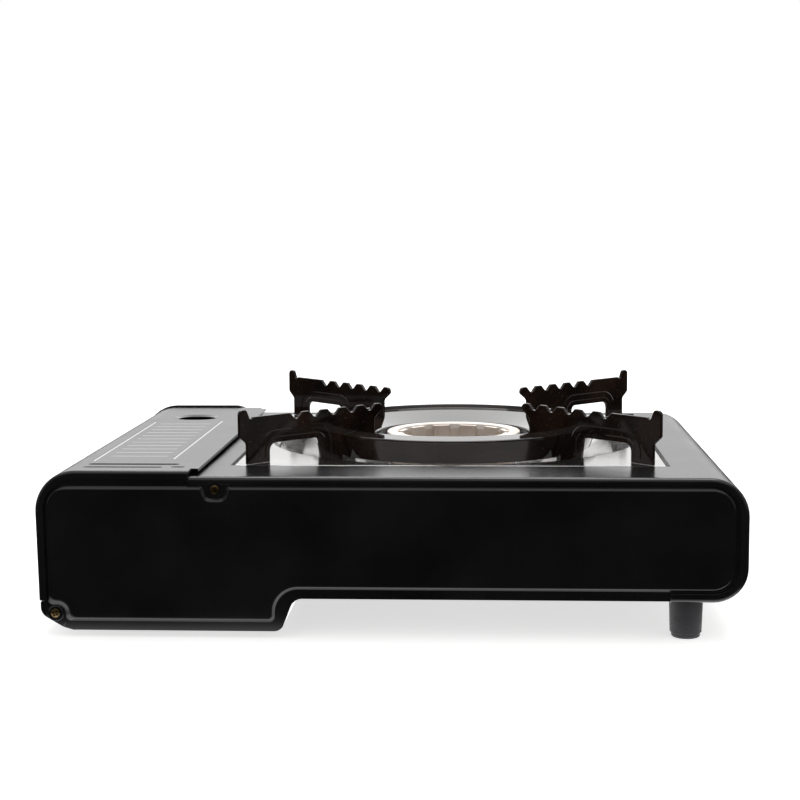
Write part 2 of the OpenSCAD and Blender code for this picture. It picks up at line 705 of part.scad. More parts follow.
// Bowl under the head: an annular gas chamber with a hole up its middle for air
bowl_hole_r = 14;
bowl_low = bowl_top - bowl_h;
module burner_bowl() {
    flange_r = bowl_r + 5;
    color(alloy)
        difference() {
            translate([burner_x, burner_y, 0])
                rotate_extrude($fn = 2 * fine)
                    polygon([[bowl_hole_r, bowl_low], [bowl_r - 4, bowl_low], [bowl_r - 1, bowl_low + 8],
                        [bowl_r - 1, tray_floor - tray_t - 2], [flange_r, tray_floor - tray_t - 2],
                            [flange_r, tray_floor - tray_t],
                        [bowl_r, tray_floor - tray_t], [bowl_r, bowl_top], [bowl_r - 3, bowl_top],
                        [bowl_r - 3, bowl_low + 2.5], [bowl_hole_r + 2.5, bowl_low + 2.5],
                        [bowl_hole_r + 2.5, bowl_top], [bowl_hole_r, bowl_top]]);
            translate([burner_x, burner_y, tube_z])
                rotate([0, 90, tube_angle + 180])
                    translate([0, 0, bowl_hole_r + 3])
                        cylinder(h = body_w, r = tube_r + fit_gap, $fn = fine);
        }
}

// Bent bracket that carries the bowl on the floor
bracket_t = 1.2;
bracket_w = 24;
bracket_reach = 46;
function bracket_feet() = [for (side = [-1, 1]) [burner_x + side * (bracket_reach + 6), burner_y]];
module burner_bracket() {
    bracket_path = [[burner_x - bracket_reach - 12, floor_top + bracket_t, 0], [burner_x - bracket_reach,
        floor_top + bracket_t, 2],
        [burner_x - bracket_reach, bowl_low, 2], [burner_x + bracket_reach, bowl_low, 2],
        [burner_x + bracket_reach, floor_top + bracket_t, 2], [burner_x + bracket_reach + 12,
            floor_top + bracket_t, 0]];
    color(bright)
        difference() {
            along_y(burner_y - bracket_w / 2, burner_y + bracket_w / 2)
                polygon(concat(path(bracket_path), reversed(path(moved(bracket_path, -bracket_t)))));
            post(burner_x, burner_y, bowl_low - 2 * bracket_t, bowl_low + past, bowl_hole_r - 5);
            for (s = bracket_feet())
                post(s[0], s[1], floor_h - past, floor_top + 2 * bracket_t, screw_r + fit_gap);
        }
}

// Straight mixing tube from the regulator's nozzle to the bowl
tube_reach = norm([burner_x - (can_x - 24), burner_y - (ring_front - 12)]);
nozzle_l = 12;
module along_tube(from) {
    translate([burner_x, burner_y, tube_z])
        rotate([0, 90, tube_angle + 180])
            translate([0, 0, from])
                children();
}
module mixing_tube() {
    tube_l = tube_reach - 18 - bowl_r;
    mouth_l = 14;
    color(bright)
        along_tube(bowl_r - 6)
            difference() {
                union() {
                    cylinder(h = tube_l + mouth_l, r = tube_r, $fn = fine);
                    translate([0, 0, 8])
                        cylinder(h = 1.5, r = tube_r + 2, $fn = fine);
                }
                translate([0, 0, -past])
                    cylinder(h = tube_l + mouth_l + 2 * past, r = tube_r - tube_t, $fn = fine);
                for (side = [0, 90])
                    translate([0, 0, tube_l + mouth_l / 2])
                        rotate([0, 90, side])
                            cylinder(h = 3 * tube_r, r = 3, center = true, $fn = fine);
            }
}
module gas_nozzle() {
    color(brass)
        along_tube(tube_reach - nozzle_l)
            difference() {
                union() {
                    cylinder(h = nozzle_l, r = 3, $fn = fine);
                    translate([0, 0, 5])
                        cylinder(h = 2.5, r = tube_r - tube_t - fit_gap, $fn = 6);
                }
                translate([0, 0, -past])
                    cylinder(h = nozzle_l, r = 0.5, $fn = fine);
            }
}

// Aluminium strip that carries a little of the burner's heat to the canister
saddle_angle = 25;
module heat_plate() {
    start_x = burner_x + 36;
    saddle_r = can_r + run_gap;
    lift = asin((strip_z + strip_t / 2 - can_h) / saddle_r);
    color(alloy)
        union() {
            box([start_x, strip_y - strip_l / 2, strip_z], [can_x - saddle_r * cos(lift),
                strip_y + strip_l / 2, strip_z + strip_t]);
            box([start_x, strip_y - strip_l / 2, strip_z], [start_x + strip_t, strip_y + strip_l / 2,
                tray_floor - tray_t]);
            translate([can_x, strip_y + strip_l / 2, can_h])
                rotate([90, 0, 0])
                    rotate([0, 0, 180 - lift - 1])
                        rotate_extrude(angle = saddle_angle, $fn = 2 * fine)
                            translate([saddle_r, 0])
                                square([strip_t, strip_l]);
        }
}

// Spark electrode in the middle of the burner, its lead, and the piezo unit it comes from
electrode_x = burner_x + 5;
electrode_low = bowl_low;
module electrode() {
    tip_h = head_h_top - 8;
    color("#e8e4da")
        union() {
            post(electrode_x, burner_y, electrode_low, tip_h - 4, 2.6);
            post(electrode_x, burner_y, electrode_low + 6, electrode_low + 8, 3.6);
        }
    color(bright)
        union() {
            post(electrode_x, burner_y, tip_h - 4, tip_h, 0.8);
            box([electrode_x, burner_y - 0.7, tip_h - 1.4], [burner_x + throat_r - port_t - 4,
                burner_y + 0.7, tip_h]);
        }
}
wire_route = [[can_x - 14, wire_hole[0], wire_hole[1]], [ledge_x - 6, wire_hole[0], wire_hole[1]],
    [ledge_x - 10, wire_hole[0] + 5, wire_hole[1] - 14], [ledge_x - 12, ring_front - 8, 36], [30, -58, 30],
        [electrode_x + 4, burner_y - 16, 30],
    [electrode_x, burner_y, 34], [electrode_x, burner_y, electrode_low]];
wire_sides = 8;
module electrode_wire() {
    n = len(wire_route);
    // One ring of points square to the way the lead runs at each point of its route
    rings = [for (i = [0:n - 1])
        let (d = unit(wire_route[min(i + 1, n - 1)] - wire_route[max(i - 1, 0)]), u = unit(cross(d, [0.6,
            1, 0.3])), v = cross(d, u))
        for (k = [0:wire_sides - 1]) wire_route[i] + wire_r * (u * cos(k * 360 / wire_sides) + v * sin(k * 360 / wire_sides))];
    color("#8a2f24")
        polyhedron(rings, concat(
            [[for (k = [0:wire_sides - 1]) k]], [[for (k = [wire_sides - 1:-1:0]) (n - 1) * wire_sides + k]],
            [for (i = [0:n - 2]) for (k = [0:wire_sides - 1])
                let (a = i * wire_sides + k, b = i * wire_sides + (k + 1) % wire_sides)
                each [[a, b + wire_sides, b], [a, a + wire_sides, b + wire_sides]]]));
}
valve_back = ring_front - seat_depth - 2;
valve_front = valve_back - valve_l;
valve_half = 16;
// Height of the flat that carries the piezo unit above the regulator's round body, and above the axis of its outlet
piezo_seat = 2.8;
outlet_seat = 6;
valve_top = max(can_h + valve_half + piezo_seat, tube_z + outlet_seat);
module piezo_unit() {
    color(plastic)
        difference() {
            box([can_x - 14, valve_front + 2, valve_top], [can_x + 14, valve_back - 2, valve_top + 11]);
            box([can_x + 8, valve_front, valve_top + 7], [can_x + 14 + past, valve_back,
                valve_top + 11 + past]);
        }
}

// Gas regulator: a cast body, its diaphragm cap and the ring that locates the canister
module regulator_body() {
    color(alloy)
        difference() {
            union() {
                rod_y(can_x, valve_front, valve_back, can_h, valve_half);
                box([can_x - 12, valve_front, can_h], [can_x + 12, valve_back, valve_top]);
                along_tube(tube_reach)
                    cylinder(h = 14, r = 5, $fn = fine);
            }
            rod_y(can_x, valve_front - past, valve_front + 14, can_h, spindle_r + pin_gap);
            rod_y(can_x, valve_back - 6, valve_back + past, can_h, 4.5);
            for (side = [-1, 1])
                rod_y(can_x + side * 12, valve_back - 5, valve_back + past, can_h, screw_r + fit_gap);
        }
}
module regulator_cap() {
    color(zinc)
        difference() {
            union() {
                rod_y(can_x, valve_front - 2, valve_front, can_h, valve_half + 3);
                box([can_x - 24, pocket_front, can_h - 6], [can_x - 20, valve_front, can_h + 6]);
                box([can_x + 20, pocket_front, can_h - 6], [can_x + 24, valve_front, can_h + 6]);
                box([can_x - 24, valve_front - 2, can_h - 6], [can_x + 24, valve_front, can_h + 6]);
            }
            rod_y(can_x, pocket_front - past, valve_front + past, can_h, spindle_r + 1);
        }
}
pocket_front = front_y + sheet_t;
pocket_back = back_y - sheet_t;
ring_rim_r = collar_r + 4;
module locating_ring() {
    color(bright)
        difference() {
            union() {
                rod_y(can_x, valve_back, ring_front, can_h, ring_rim_r);
                box([can_x - 14, valve_back, well_top], [can_x + 14, valve_back + 2, can_h]);
            }
            rod_y(can_x, valve_back + 2, ring_front + past, can_h, collar_r);
            rod_y(can_x, valve_back - past, ring_front, can_h, 8);
            for (side = [-1, 1])
                rod_y(can_x + side * 12, valve_back - past, ring_front, can_h, screw_r + fit_gap);
        }
}
module inlet_seal() {
    color("#2a2a2a")
        difference() {
            rod_y(can_x, valve_back - 6, valve_back - 2, can_h, 4.5);
            rod_y(can_x, valve_back - 6 - past, valve_back, can_h, 2.1);
        }
}

// Knob, its spindle into the regulator, and the fascia and dial behind it
dial_t = 0.6;
knob_back = front_y - fascia_t - dial_t - run_gap;
knob_front = front_y - knob_reach;
skirt_t = 3;
grip_r = knob_r - 7;
flute_count = 12;
module valve_spindle() {
    color(brass)
        difference() {
            rod_y(knob_x, knob_front + 4, valve_front + 12, knob_z, spindle_r);
            box([knob_x + spindle_r - 1, knob_front, knob_z - spindle_r], [knob_x + 2 * spindle_r,
                knob_back, knob_z + spindle_r]);
        }
}
module control_knob() {
    color(plastic)
        difference() {
            union() {
                translate([knob_x, knob_back, knob_z])
                    rotate([90, 0, 0])
                        rotate_extrude($fn = 2 * fine)
                            polygon(outline([[0, 0, 0], [knob_r, 0, 0], [knob_r, skirt_t, 1.2],
                                [grip_r + 1, skirt_t + 0.8, 1],
                                [grip_r, knob_back - knob_front, 1.5], [0, knob_back - knob_front, 0]]));
            }
            for (i = [0:flute_count - 1])
                translate([knob_x, 0, knob_z])
                    rotate([0, i * 360 / flute_count, 0])
                        rod_y(grip_r + 2.2, knob_front - past, knob_back - skirt_t - 1.5, 0, 3);
            rod_y(knob_x, knob_front + 4, knob_back + past, knob_z, spindle_r + 0.02);
            box([knob_x - 0.6, knob_front - past, knob_z + 4], [knob_x + 0.6, knob_front + 0.6,
                knob_z + grip_r + past]);
        }
}
fascia_x = can_x - knob_r - 9;
module control_fascia() {
    fascia_top = lid_h + fascia_lip;
    color(plastic)
        difference() {
            along_y(front_y - fascia_t, front_y)
                polygon(outline([[fascia_x, bay_chamfer_z + 3, 5], [bay_side_x - 5, bay_chamfer_z + 3, 8],
                    [half_w - 0.6, hinge_h + 22, 20], [half_w - 0.6, fascia_top, lid_r], [fascia_x,
                        fascia_top, 12]]));
            rod_y(knob_x, front_y - fascia_t - past, front_y + past, knob_z, spindle_r + 2);
        }
}
dial_marks = 9;
module dial_plate() {
    color("#c9c9c9")
        difference() {
            rod_y(knob_x, front_y - fascia_t - dial_t, front_y - fascia_t, knob_z, knob_r + 6);
            rod_y(knob_x, front_y - fascia_t - dial_t - past, front_y, knob_z, spindle_r + 2);
            for (i = [0:dial_marks - 1])
                translate([knob_x, 0, knob_z])
                    rotate([0, -110 * i / (dial_marks - 1) + 90, 0])
                        box([knob_r + 1.5, front_y - fascia_t - dial_t - past, -0.4],
                            [knob_r + 4.5, front_y - fascia_t - dial_t / 2, 0.4]);
        }
}

// Lever in the front panel: handle and shank outside, slotted cam inside, and the hook it draws
handle_reach = 13;
guide_t = 1.5;
cam_t = 2;
cam_y = front_y + 12;
pin_r = 1.5;
shank_half = 1.5;
module cartridge_lever() {
    color(plastic)
        along_x(lever_x - lever_w / 2, lever_x + lever_w / 2)
            polygon(outline([[front_y - guide_t - run_gap, lever_z - 5, 1], [front_y - guide_t - run_gap,
                lever_z + 6, 1],
                [front_y - handle_reach + 3, lever_z + 3, 3], [front_y - handle_reach, lever_z + 1, 1.5],
                [front_y - handle_reach, lever_z - 3, 1.5]]));
}
// A Y-Z outline carried along X from x0 to x1
module along_x(x0, x1) {
    translate([x0, 0, 0])
        rotate([90, 0, 90])
            linear_extrude(x1 - x0)
                children();
}
module lever_guide() {
    low = lever_z - lever_travel - 9;
    high = lever_z + 9;
    color(plastic)
        difference() {
            along_y(front_y - guide_t, front_y)
                polygon(outline([[lever_x - lever_w / 2 - 3, low, 3], [lever_x + lever_w / 2 + 3, low, 3],
                    [lever_x + lever_w / 2 + 3, high, 3], [lever_x - lever_w / 2 - 3, high, 3]]));
            box([lever_x - 3, front_y - guide_t - past, lever_z - lever_travel - 4], [lever_x + 3,
                front_y + past, lever_z + 4]);
        }
}
hook_pin = [cam_y + 14, hook_z];
module lever_cam() {
    color(bright)
        difference() {
            union() {
                box([lever_x - cam_t / 2, front_y - guide_t - run_gap, lever_z - 3], [lever_x + cam_t / 2,
                    cam_y, lever_z + 3]);
                box([lever_x - cam_t / 2, front_y + 4, hook_z - 5], [lever_x + cam_t / 2, cam_y + 20,
                    lever_z + 3]);
            }
            for (y = [0:1])
                along_x(lever_x - cam_t, lever_x + cam_t)
                    translate(hook_pin + y * [-hook_travel, lever_travel])
                        circle(r = pin_r + run_gap, $fn = fine);
            along_x(lever_x - cam_t, lever_x + cam_t)
                polygon([for (q = [[-1, 0], [1, 0], [1, 1], [-1, 1]])
                    hook_pin + q[1] * [-hook_travel, lever_travel]
                        + q[0] * (pin_r + run_gap) * unit([lever_travel, hook_travel])]);
        }
}
module cartridge_hook() {
    fork_r = collar_r + 5;
    neck_r = 17;
    arm_x = lever_x + cam_t / 2 + run_gap;
    color(bright)
        union() {
            difference() {
                rod_y(can_x, hook_y, hook_y + hook_t, can_h, fork_r);
                rod_y(can_x, hook_y - past, hook_y + hook_t + past, can_h, neck_r);
                box([can_x - 2 * fork_r, hook_y - past, can_h], [can_x + 2 * fork_r,
                    hook_y + hook_t + past, can_h + 2 * fork_r]);
            }
            box([arm_x, hook_y, hook_z - 4], [can_x - fork_r * 0.8, hook_y + hook_t, hook_z + 4]);
            box([arm_x, hook_pin[0] - 4, hook_z - 4], [arm_x + hook_t, hook_y + hook_t, hook_z + 4]);
            translate([lever_x - cam_t, hook_pin[0], hook_z])
                rotate([0, 90, 0])
                    cylinder(h = arm_x - lever_x + cam_t + past, r = pin_r, $fn = fine);
        }
}

// Saddle strips under the canister, and the leaf that steadies its far end
module canister_cradle() {
    saddle_y = [ring_front + 40, inner_back - 50];
    half = 14;
    color(bright)
        union() {
            box([can_x - 8, saddle_y[0], well_top], [can_x + 8, saddle_y[1], well_top + sheet_t]);
            for (y = saddle_y)
                difference() {
                    box([can_x - half, y, well_top], [can_x + half, y + 1.5,
                        can_h - can_r * cos(asin(half / can_r))]);
                    rod_y(can_x, y - past, y + 1.5 + past, can_h, can_r + run_gap);
                }
        }
}
module rear_spring() {
    spring_path = [[can_x - 24, pocket_back, 0], [can_x - 14, pocket_back, 4], [can_x, pocket_back - 14, 8],
        [can_x + 14, pocket_back, 4], [can_x + 24, pocket_back, 0]];
    color(bright)
        translate([0, 0, can_h - 10])
            linear_extrude(20)
                polygon(concat(path(spring_path), reversed(path(moved(spring_path, -sheet_t)))));
}

// Feet: tall ones under the burner side, low ones under the fuel bay
module foot(x, y, top) {
    color("#1a1a1c")
        translate([x, y, 0])
            rotate_extrude($fn = fine)
                polygon(outline([[0, 0, 0], [foot_tip_r, 0, 1], [foot_tip_r, min(foot_tip_h, top / 2), 0],
                    [foot_r - 0.5, min(foot_tip_h, top / 2) + 0.4, 0], [foot_r, top, 0], [0, top, 0]]));
}
tall_foot_x = tall_foot_in - half_w;
low_foot_x = half_w - low_foot_in;
module tall_foot_back() { foot(tall_foot_x, back_y - foot_in, floor_h - sheet_t); }
module tall_foot_front() { foot(tall_foot_x, front_y + foot_in, floor_h - sheet_t); }
module low_foot_back() { foot(low_foot_x, back_y - low_foot_end, well_h); }
module low_foot_front() { foot(low_foot_x, front_y + low_foot_end, well_h); }

// A pan-head screw along +Y from its seat at y = 0, head on the -Y side
module screw(r, head_r, shank_l) {
    rotate([-90, 0, 0])
        difference() {
            union() {
                cylinder(h = shank_l, r = r, $fn = fine);
                translate([0, 0, -1.4])
                    cylinder(h = 1.4, r1 = 0.8 * head_r, r2 = head_r, $fn = fine);
            }
            for (turn = [0, 90])
                rotate([0, 0, turn])
                    translate([-0.55 * head_r, -0.25, -1.4 - past])
                        cube([1.1 * head_r, 0.5, 0.7 + past]);
        }
}
module panel_screws() {
    color(zinc)
        for (s = [screw_low, screw_top]) {
            translate([s[0], front_y + field_h, s[1]])
                screw(screw_r, screw_head_r, 4);
            translate([s[0], back_y - field_h, s[1]])
                mirror([0, 1, 0])
                    screw(screw_r, screw_head_r, 4);
        }
}
module regulator_screws() {
    color(zinc)
        for (side = [-1, 1])
            translate([can_x + side * 12, valve_back + 2, can_h])
                mirror([0, 1, 0])
                    screw(screw_r, screw_head_r, 6.5);
}
module burner_screws() {
    color(zinc)
        for (s = bracket_feet())
            translate([s[0], s[1], floor_top + bracket_t])
                rotate([-90, 0, 0])
                    screw(screw_r, screw_head_r, 4);
}

base_pan();
top_cover();
back_panel();
front_panel();
bay_partition();
drip_tray();
lid();
lid_hinge_pins();
pan_ring();
fin_back_bay();
fin_back_side();
fin_front_bay();
fin_front_side();
burner_head();
burner_bowl();
burner_bracket();
mixing_tube();
gas_nozzle();
heat_plate();
electrode();
electrode_wire();
piezo_unit();
regulator_body();
regulator_cap();
locating_ring();
inlet_seal();
valve_spindle();
control_knob();
control_fascia();
dial_plate();
cartridge_lever();
lever_guide();
lever_cam();
cartridge_hook();
canister_cradle();
rear_spring();
tall_foot_back();
tall_foot_front();
low_foot_back();
low_foot_front();
panel_screws();
regulator_screws();
burner_screws();
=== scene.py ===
import json
import math
import bmesh
import bpy
import numpy as np
from mathutils import Matrix, Vector


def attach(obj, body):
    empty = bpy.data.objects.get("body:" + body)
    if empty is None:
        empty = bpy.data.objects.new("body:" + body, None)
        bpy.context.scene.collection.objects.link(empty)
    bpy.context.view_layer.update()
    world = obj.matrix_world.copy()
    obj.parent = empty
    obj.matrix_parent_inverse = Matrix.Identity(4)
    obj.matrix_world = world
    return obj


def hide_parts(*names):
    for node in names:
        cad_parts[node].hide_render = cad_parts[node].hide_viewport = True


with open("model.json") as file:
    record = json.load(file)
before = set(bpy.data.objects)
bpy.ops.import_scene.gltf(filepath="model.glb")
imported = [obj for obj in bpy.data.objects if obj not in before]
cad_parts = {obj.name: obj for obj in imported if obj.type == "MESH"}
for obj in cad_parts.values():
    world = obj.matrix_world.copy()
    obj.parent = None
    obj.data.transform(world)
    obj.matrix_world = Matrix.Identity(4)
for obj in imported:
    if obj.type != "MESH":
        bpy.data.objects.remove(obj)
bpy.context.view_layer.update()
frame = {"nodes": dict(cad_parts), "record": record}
nodes = frame["nodes"]
bodyOf = {node: body for body, group in frame["record"]["behaviour"]["bodies"].items() for node in group}
slotOf = {part["node"]: part["material_slot"] for part in frame["record"]["subparts"]}
mm = 0.001
print("frame loaded:", len(nodes), "nodes")


def srgb(text):
    # Each hex pair over 255 goes through the sRGB curve to linear light
    c = np.array([int(text[i:i + 2], 16) for i in (1, 3, 5)]) / 255
    linear = np.where(c <= 0.04045, c / 12.92, ((c + 0.055) / 1.055) ** 2.4)
    return (*linear.tolist(), 1.0)


def addNode(tree, kind, settings=None, inputs=(), stops=()):
    # inputs: a list in the sockets' order, or socket -> input; each is a value, or a (node, output) pair to link.
    # stops: the two (position, colour) pairs of a colour ramp
    node = tree.nodes.new(kind)
    for key, value in (settings or {}).items():
        setattr(node, key, value)
    for key, value in (inputs.items() if isinstance(inputs, dict) else enumerate(inputs)):
        if isinstance(value, tuple) and len(value) == 2 and hasattr(value[0], "outputs"):
            tree.links.new(value[0].outputs[value[1]], node.inputs[key])
        else:
            node.inputs[key].default_value = value
    for i, (position, color) in enumerate(stops):
        node.color_ramp.elements[i].position = position
        node.color_ramp.elements[i].color = color
    return node


def newMaterial(name):
    material = bpy.data.materials.new(name)
    material.use_nodes = True
    tree = material.node_tree
    place = addNode(tree, "ShaderNodeTexCoord")
    return material, tree, tree.nodes["Principled BSDF"], (place, "Object")


def dress(tree, shader, color, rough, height, depthMm):
    # The shader takes its colour and roughness from two nodes, and its normal from a relief of depthMm
    bump = addNode(tree, "ShaderNodeBump", None, {"Height": height, "Strength": 1.0, "Distance": depthMm * mm})
    for socket, (node, output) in {"Base Color": color, "Roughness": rough, "Normal": (bump, 0)}.items():
        tree.links.new(node.outputs[output], shader.inputs[socket])


# Noise lies mostly between these values, so shade and roughness run over that part of its range
noiseSpan = dict(shade=(0.35, 0.65), rough=(0.3, 0.7))

# Polyester powder coat, sprayed and baked: satin black, with a faint orange peel that breaks up long reflections
powderCoat = dict(dark="#0b0b0c", light="#131314", shadeSpan=(0.35, 0.68), roughLow=0.17, roughHigh=0.25, cloudMm=45,
                  peelMm=1.6, peelDepthMm=0.003, dustMm=0.9, dustColor="#1d1d1e", dustSpan=(0.70, 0.76), dustShare=0.6,
                  ior=1.5)


def makePowderCoat(name, cfg):
    # Shade and roughness drift with one soft cloud, and specks of dust are mixed over the shade
    material, tree, shader, place = newMaterial(name)
    cloud = addNode(tree, "ShaderNodeTexNoise", None, {"Vector": place, "Scale": 1000 / cfg["cloudMm"], "Detail": 3.0})
    specks = addNode(tree, "ShaderNodeTexNoise", None, {"Vector": place, "Scale": 1000 / cfg["dustMm"], "Detail": 1.0})
    peel = addNode(tree, "ShaderNodeTexNoise", None, {"Vector": place, "Scale": 1000 / cfg["peelMm"], "Detail": 2.0})
    shade = addNode(tree, "ShaderNodeValToRGB", None, [(cloud, "Fac")],
                    zip(cfg["shadeSpan"], (srgb(cfg["dark"]), srgb(cfg["light"]))))
    dust = addNode(tree, "ShaderNodeValToRGB", None, [(specks, "Fac")],
                   zip(cfg["dustSpan"], ((0, 0, 0, 1), (*[cfg["dustShare"]] * 3, 1))))
    mixed = addNode(tree, "ShaderNodeMix", {"data_type": "RGBA"},
                    {0: (dust, "Color"), 6: (shade, "Color"), 7: srgb(cfg["dustColor"])})
    rough = addNode(tree, "ShaderNodeMapRange", None,
                    [(cloud, "Fac"), *noiseSpan["rough"], cfg["roughLow"], cfg["roughHigh"]])
    dress(tree, shader, (mixed, 2), (rough, 0), (peel, "Fac"), cfg["peelDepthMm"])
    shader.inputs["IOR"].default_value = cfg["ior"]
    return material


# White ink, pad printed on the powder coat, in mm: two border lines (x, from y, to y) and plain ruled lines between
lidPrint = dict(color="#e6e4ea", above=81.2, lineHalf=0.38, borders=[(147.5, -44, 105), (109.0, -49, 98)],
                ruleX=(114, 143), ruleY=(-38, 92), rulePitch=12.5, ruleWide=1.6, ruleShare=0.5)


def printOnto(material, cfg):
    # A line's mask is the product of its spans, each 1 where the coordinate lies between its two limits
    tree = material.node_tree
    color = tree.nodes["Principled BSDF"].inputs["Base Color"]
    place = addNode(tree, "ShaderNodeTexCoord")
    axis = addNode(tree, "ShaderNodeSeparateXYZ", None, [(place, "Object")])

    def lineMask(*spans):
        mask = None
        for source, low, high in spans:
            inside = addNode(tree, "ShaderNodeMath", {"operation": "COMPARE"},
                             [source, (low + high) / 2 * mm, (high - low) / 2 * mm])
            mask = inside if mask is None else addNode(tree, "ShaderNodeMath", {"operation": "MULTIPLY"},
                                                       [(mask, 0), (inside, 0)])
        return mask

    repeat = addNode(tree, "ShaderNodeMath", {"operation": "WRAP"}, [(axis, "Y"), cfg["rulePitch"] * mm, 0.0])
    rule = lineMask(((repeat, 0), 0, cfg["ruleWide"]), ((axis, "X"), *cfg["ruleX"]), ((axis, "Y"), *cfg["ruleY"]))
    ink = addNode(tree, "ShaderNodeMath", {"operation": "MULTIPLY"}, [(rule, 0), cfg["ruleShare"]])
    for x, low, high in cfg["borders"]:
        border = lineMask(((axis, "X"), x - cfg["lineHalf"], x + cfg["lineHalf"]), ((axis, "Y"), low, high))
        ink = addNode(tree, "ShaderNodeMath", {"operation": "MAXIMUM"}, [(ink, 0), (border, 0)])
    top = addNode(tree, "ShaderNodeMath", {"operation": "GREATER_THAN"}, [(axis, "Z"), cfg["above"] * mm])
    ink = addNode(tree, "ShaderNodeMath", {"operation": "MULTIPLY"}, [(ink, 0), (top, 0)])
    inked = addNode(tree, "ShaderNodeMix", {"data_type": "RGBA"}, {0: (ink, 0), 7: srgb(cfg["color"])})
    tree.links.new(color.links[0].from_socket, inked.inputs[6])
    tree.links.new(inked.outputs[2], color)
    return material


# Vitreous enamel, dipped and fired glass on steel: a deep gloss with tiny pits and a brown cast where it is thin
enamel = dict(dark="#130d0a", light="#261b15", shadeSpan=(0.38, 0.66), thinMm=18, speck="#4a382d", speckMm=1.1,
              speckSpan=(0.66, 0.76), roughness=0.07, speckRough=0.08, waveMm=7, waveDepthMm=0.012, ior=1.52)


def makeEnamel(name, cfg):
    # Shade follows the glass's thickness; a speck is browner and rougher than the glass round it
    material, tree, shader, place = newMaterial(name)
    thin = addNode(tree, "ShaderNodeTexNoise", None, {"Vector": place, "Scale": 1000 / cfg["thinMm"], "Detail": 4.0})
    specks = addNode(tree, "ShaderNodeTexNoise", None, {"Vector": place, "Scale": 1000 / cfg["speckMm"], "Detail": 2.0})
    wave = addNode(tree, "ShaderNodeTexNoise", None, {"Vector": place, "Scale": 1000 / cfg["waveMm"], "Detail": 1.0})
    shade = addNode(tree, "ShaderNodeValToRGB", None, [(thin, "Fac")],
                    zip(cfg["shadeSpan"], (srgb(cfg["dark"]), srgb(cfg["light"]))))
    spots = addNode(tree, "ShaderNodeValToRGB", None, [(specks, "Fac")],
                    zip(cfg["speckSpan"], ((0, 0, 0, 1), (1, 1, 1, 1))))
    mixed = addNode(tree, "ShaderNodeMix", {"data_type": "RGBA"},
                    {0: (spots, "Color"), 6: (shade, "Color"), 7: srgb(cfg["speck"])})
    rough = addNode(tree, "ShaderNodeMapRange", None,
                    {0: (spots, "Color"), 3: cfg["roughness"], 4: cfg["roughness"] + cfg["speckRough"]})
    dress(tree, shader, (mixed, 2), (rough, 0), (wave, "Fac"), cfg["waveDepthMm"])
    shader.inputs["IOR"].default_value = cfg["ior"]
    return material


def makeMetal(name, cfg):
    # A bare or plated metal: rolling or turning lines are noise drawn out along one axis, and stain shifts the shade
    material, tree, shader, place = newMaterial(name)
    stretch = [1000 / cfg["lineMm"]] * 3
    stretch[cfg["along"]] = 1000 / cfg["lineLengthMm"]
    mapped = addNode(tree, "ShaderNodeMapping", None, {"Vector": place, "Scale": stretch})
    lines = addNode(tree, "ShaderNodeTexNoise", None, {"Vector": (mapped, "Vector"), "Scale": 1.0, "Detail": 3.0})
    stain = addNode(tree, "ShaderNodeTexNoise", None, {"Vector": place, "Scale": 1000 / cfg["stainMm"], "Detail": 4.0})
    shade = addNode(tree, "ShaderNodeValToRGB", None, [(stain, "Fac")],
                    zip(noiseSpan["shade"], (srgb(cfg["dark"]), srgb(cfg["light"]))))
    rough = addNode(tree, "ShaderNodeMapRange", None,
                    [(lines, "Fac"), *noiseSpan["rough"], cfg["roughLow"], cfg["roughHigh"]])
    dress(tree, shader, (shade, "Color"), (rough, 0), (lines, "Fac"), cfg["lineDepthMm"])
    shader.inputs["Metallic"].default_value = 1.0
    return material


def makeMoulded(name, cfg):
    # A moulded or fired part: a soft cloud shifts the shade, and a fine grain sets roughness and relief
    material, tree, shader, place = newMaterial(name)
    cloud = addNode(tree, "ShaderNodeTexNoise", None, {"Vector": place, "Scale": 1000 / cfg["cloudMm"], "Detail": 3.0})
    grain = addNode(tree, "ShaderNodeTexNoise", None, {"Vector": place, "Scale": 1000 / cfg["grainMm"], "Detail": 2.0})
    shade = addNode(tree, "ShaderNodeValToRGB", None, [(cloud, "Fac")],
                    zip(noiseSpan["shade"], (srgb(cfg["dark"]), srgb(cfg["light"]))))
    rough = addNode(tree, "ShaderNodeMapRange", None,
                    [(grain, "Fac"), *noiseSpan["rough"], cfg["roughLow"], cfg["roughHigh"]])
    dress(tree, shader, (shade, "Color"), (rough, 0), (grain, "Fac"), cfg["grainDepthMm"])
    shader.inputs["IOR"].default_value = cfg["ior"]
    return material


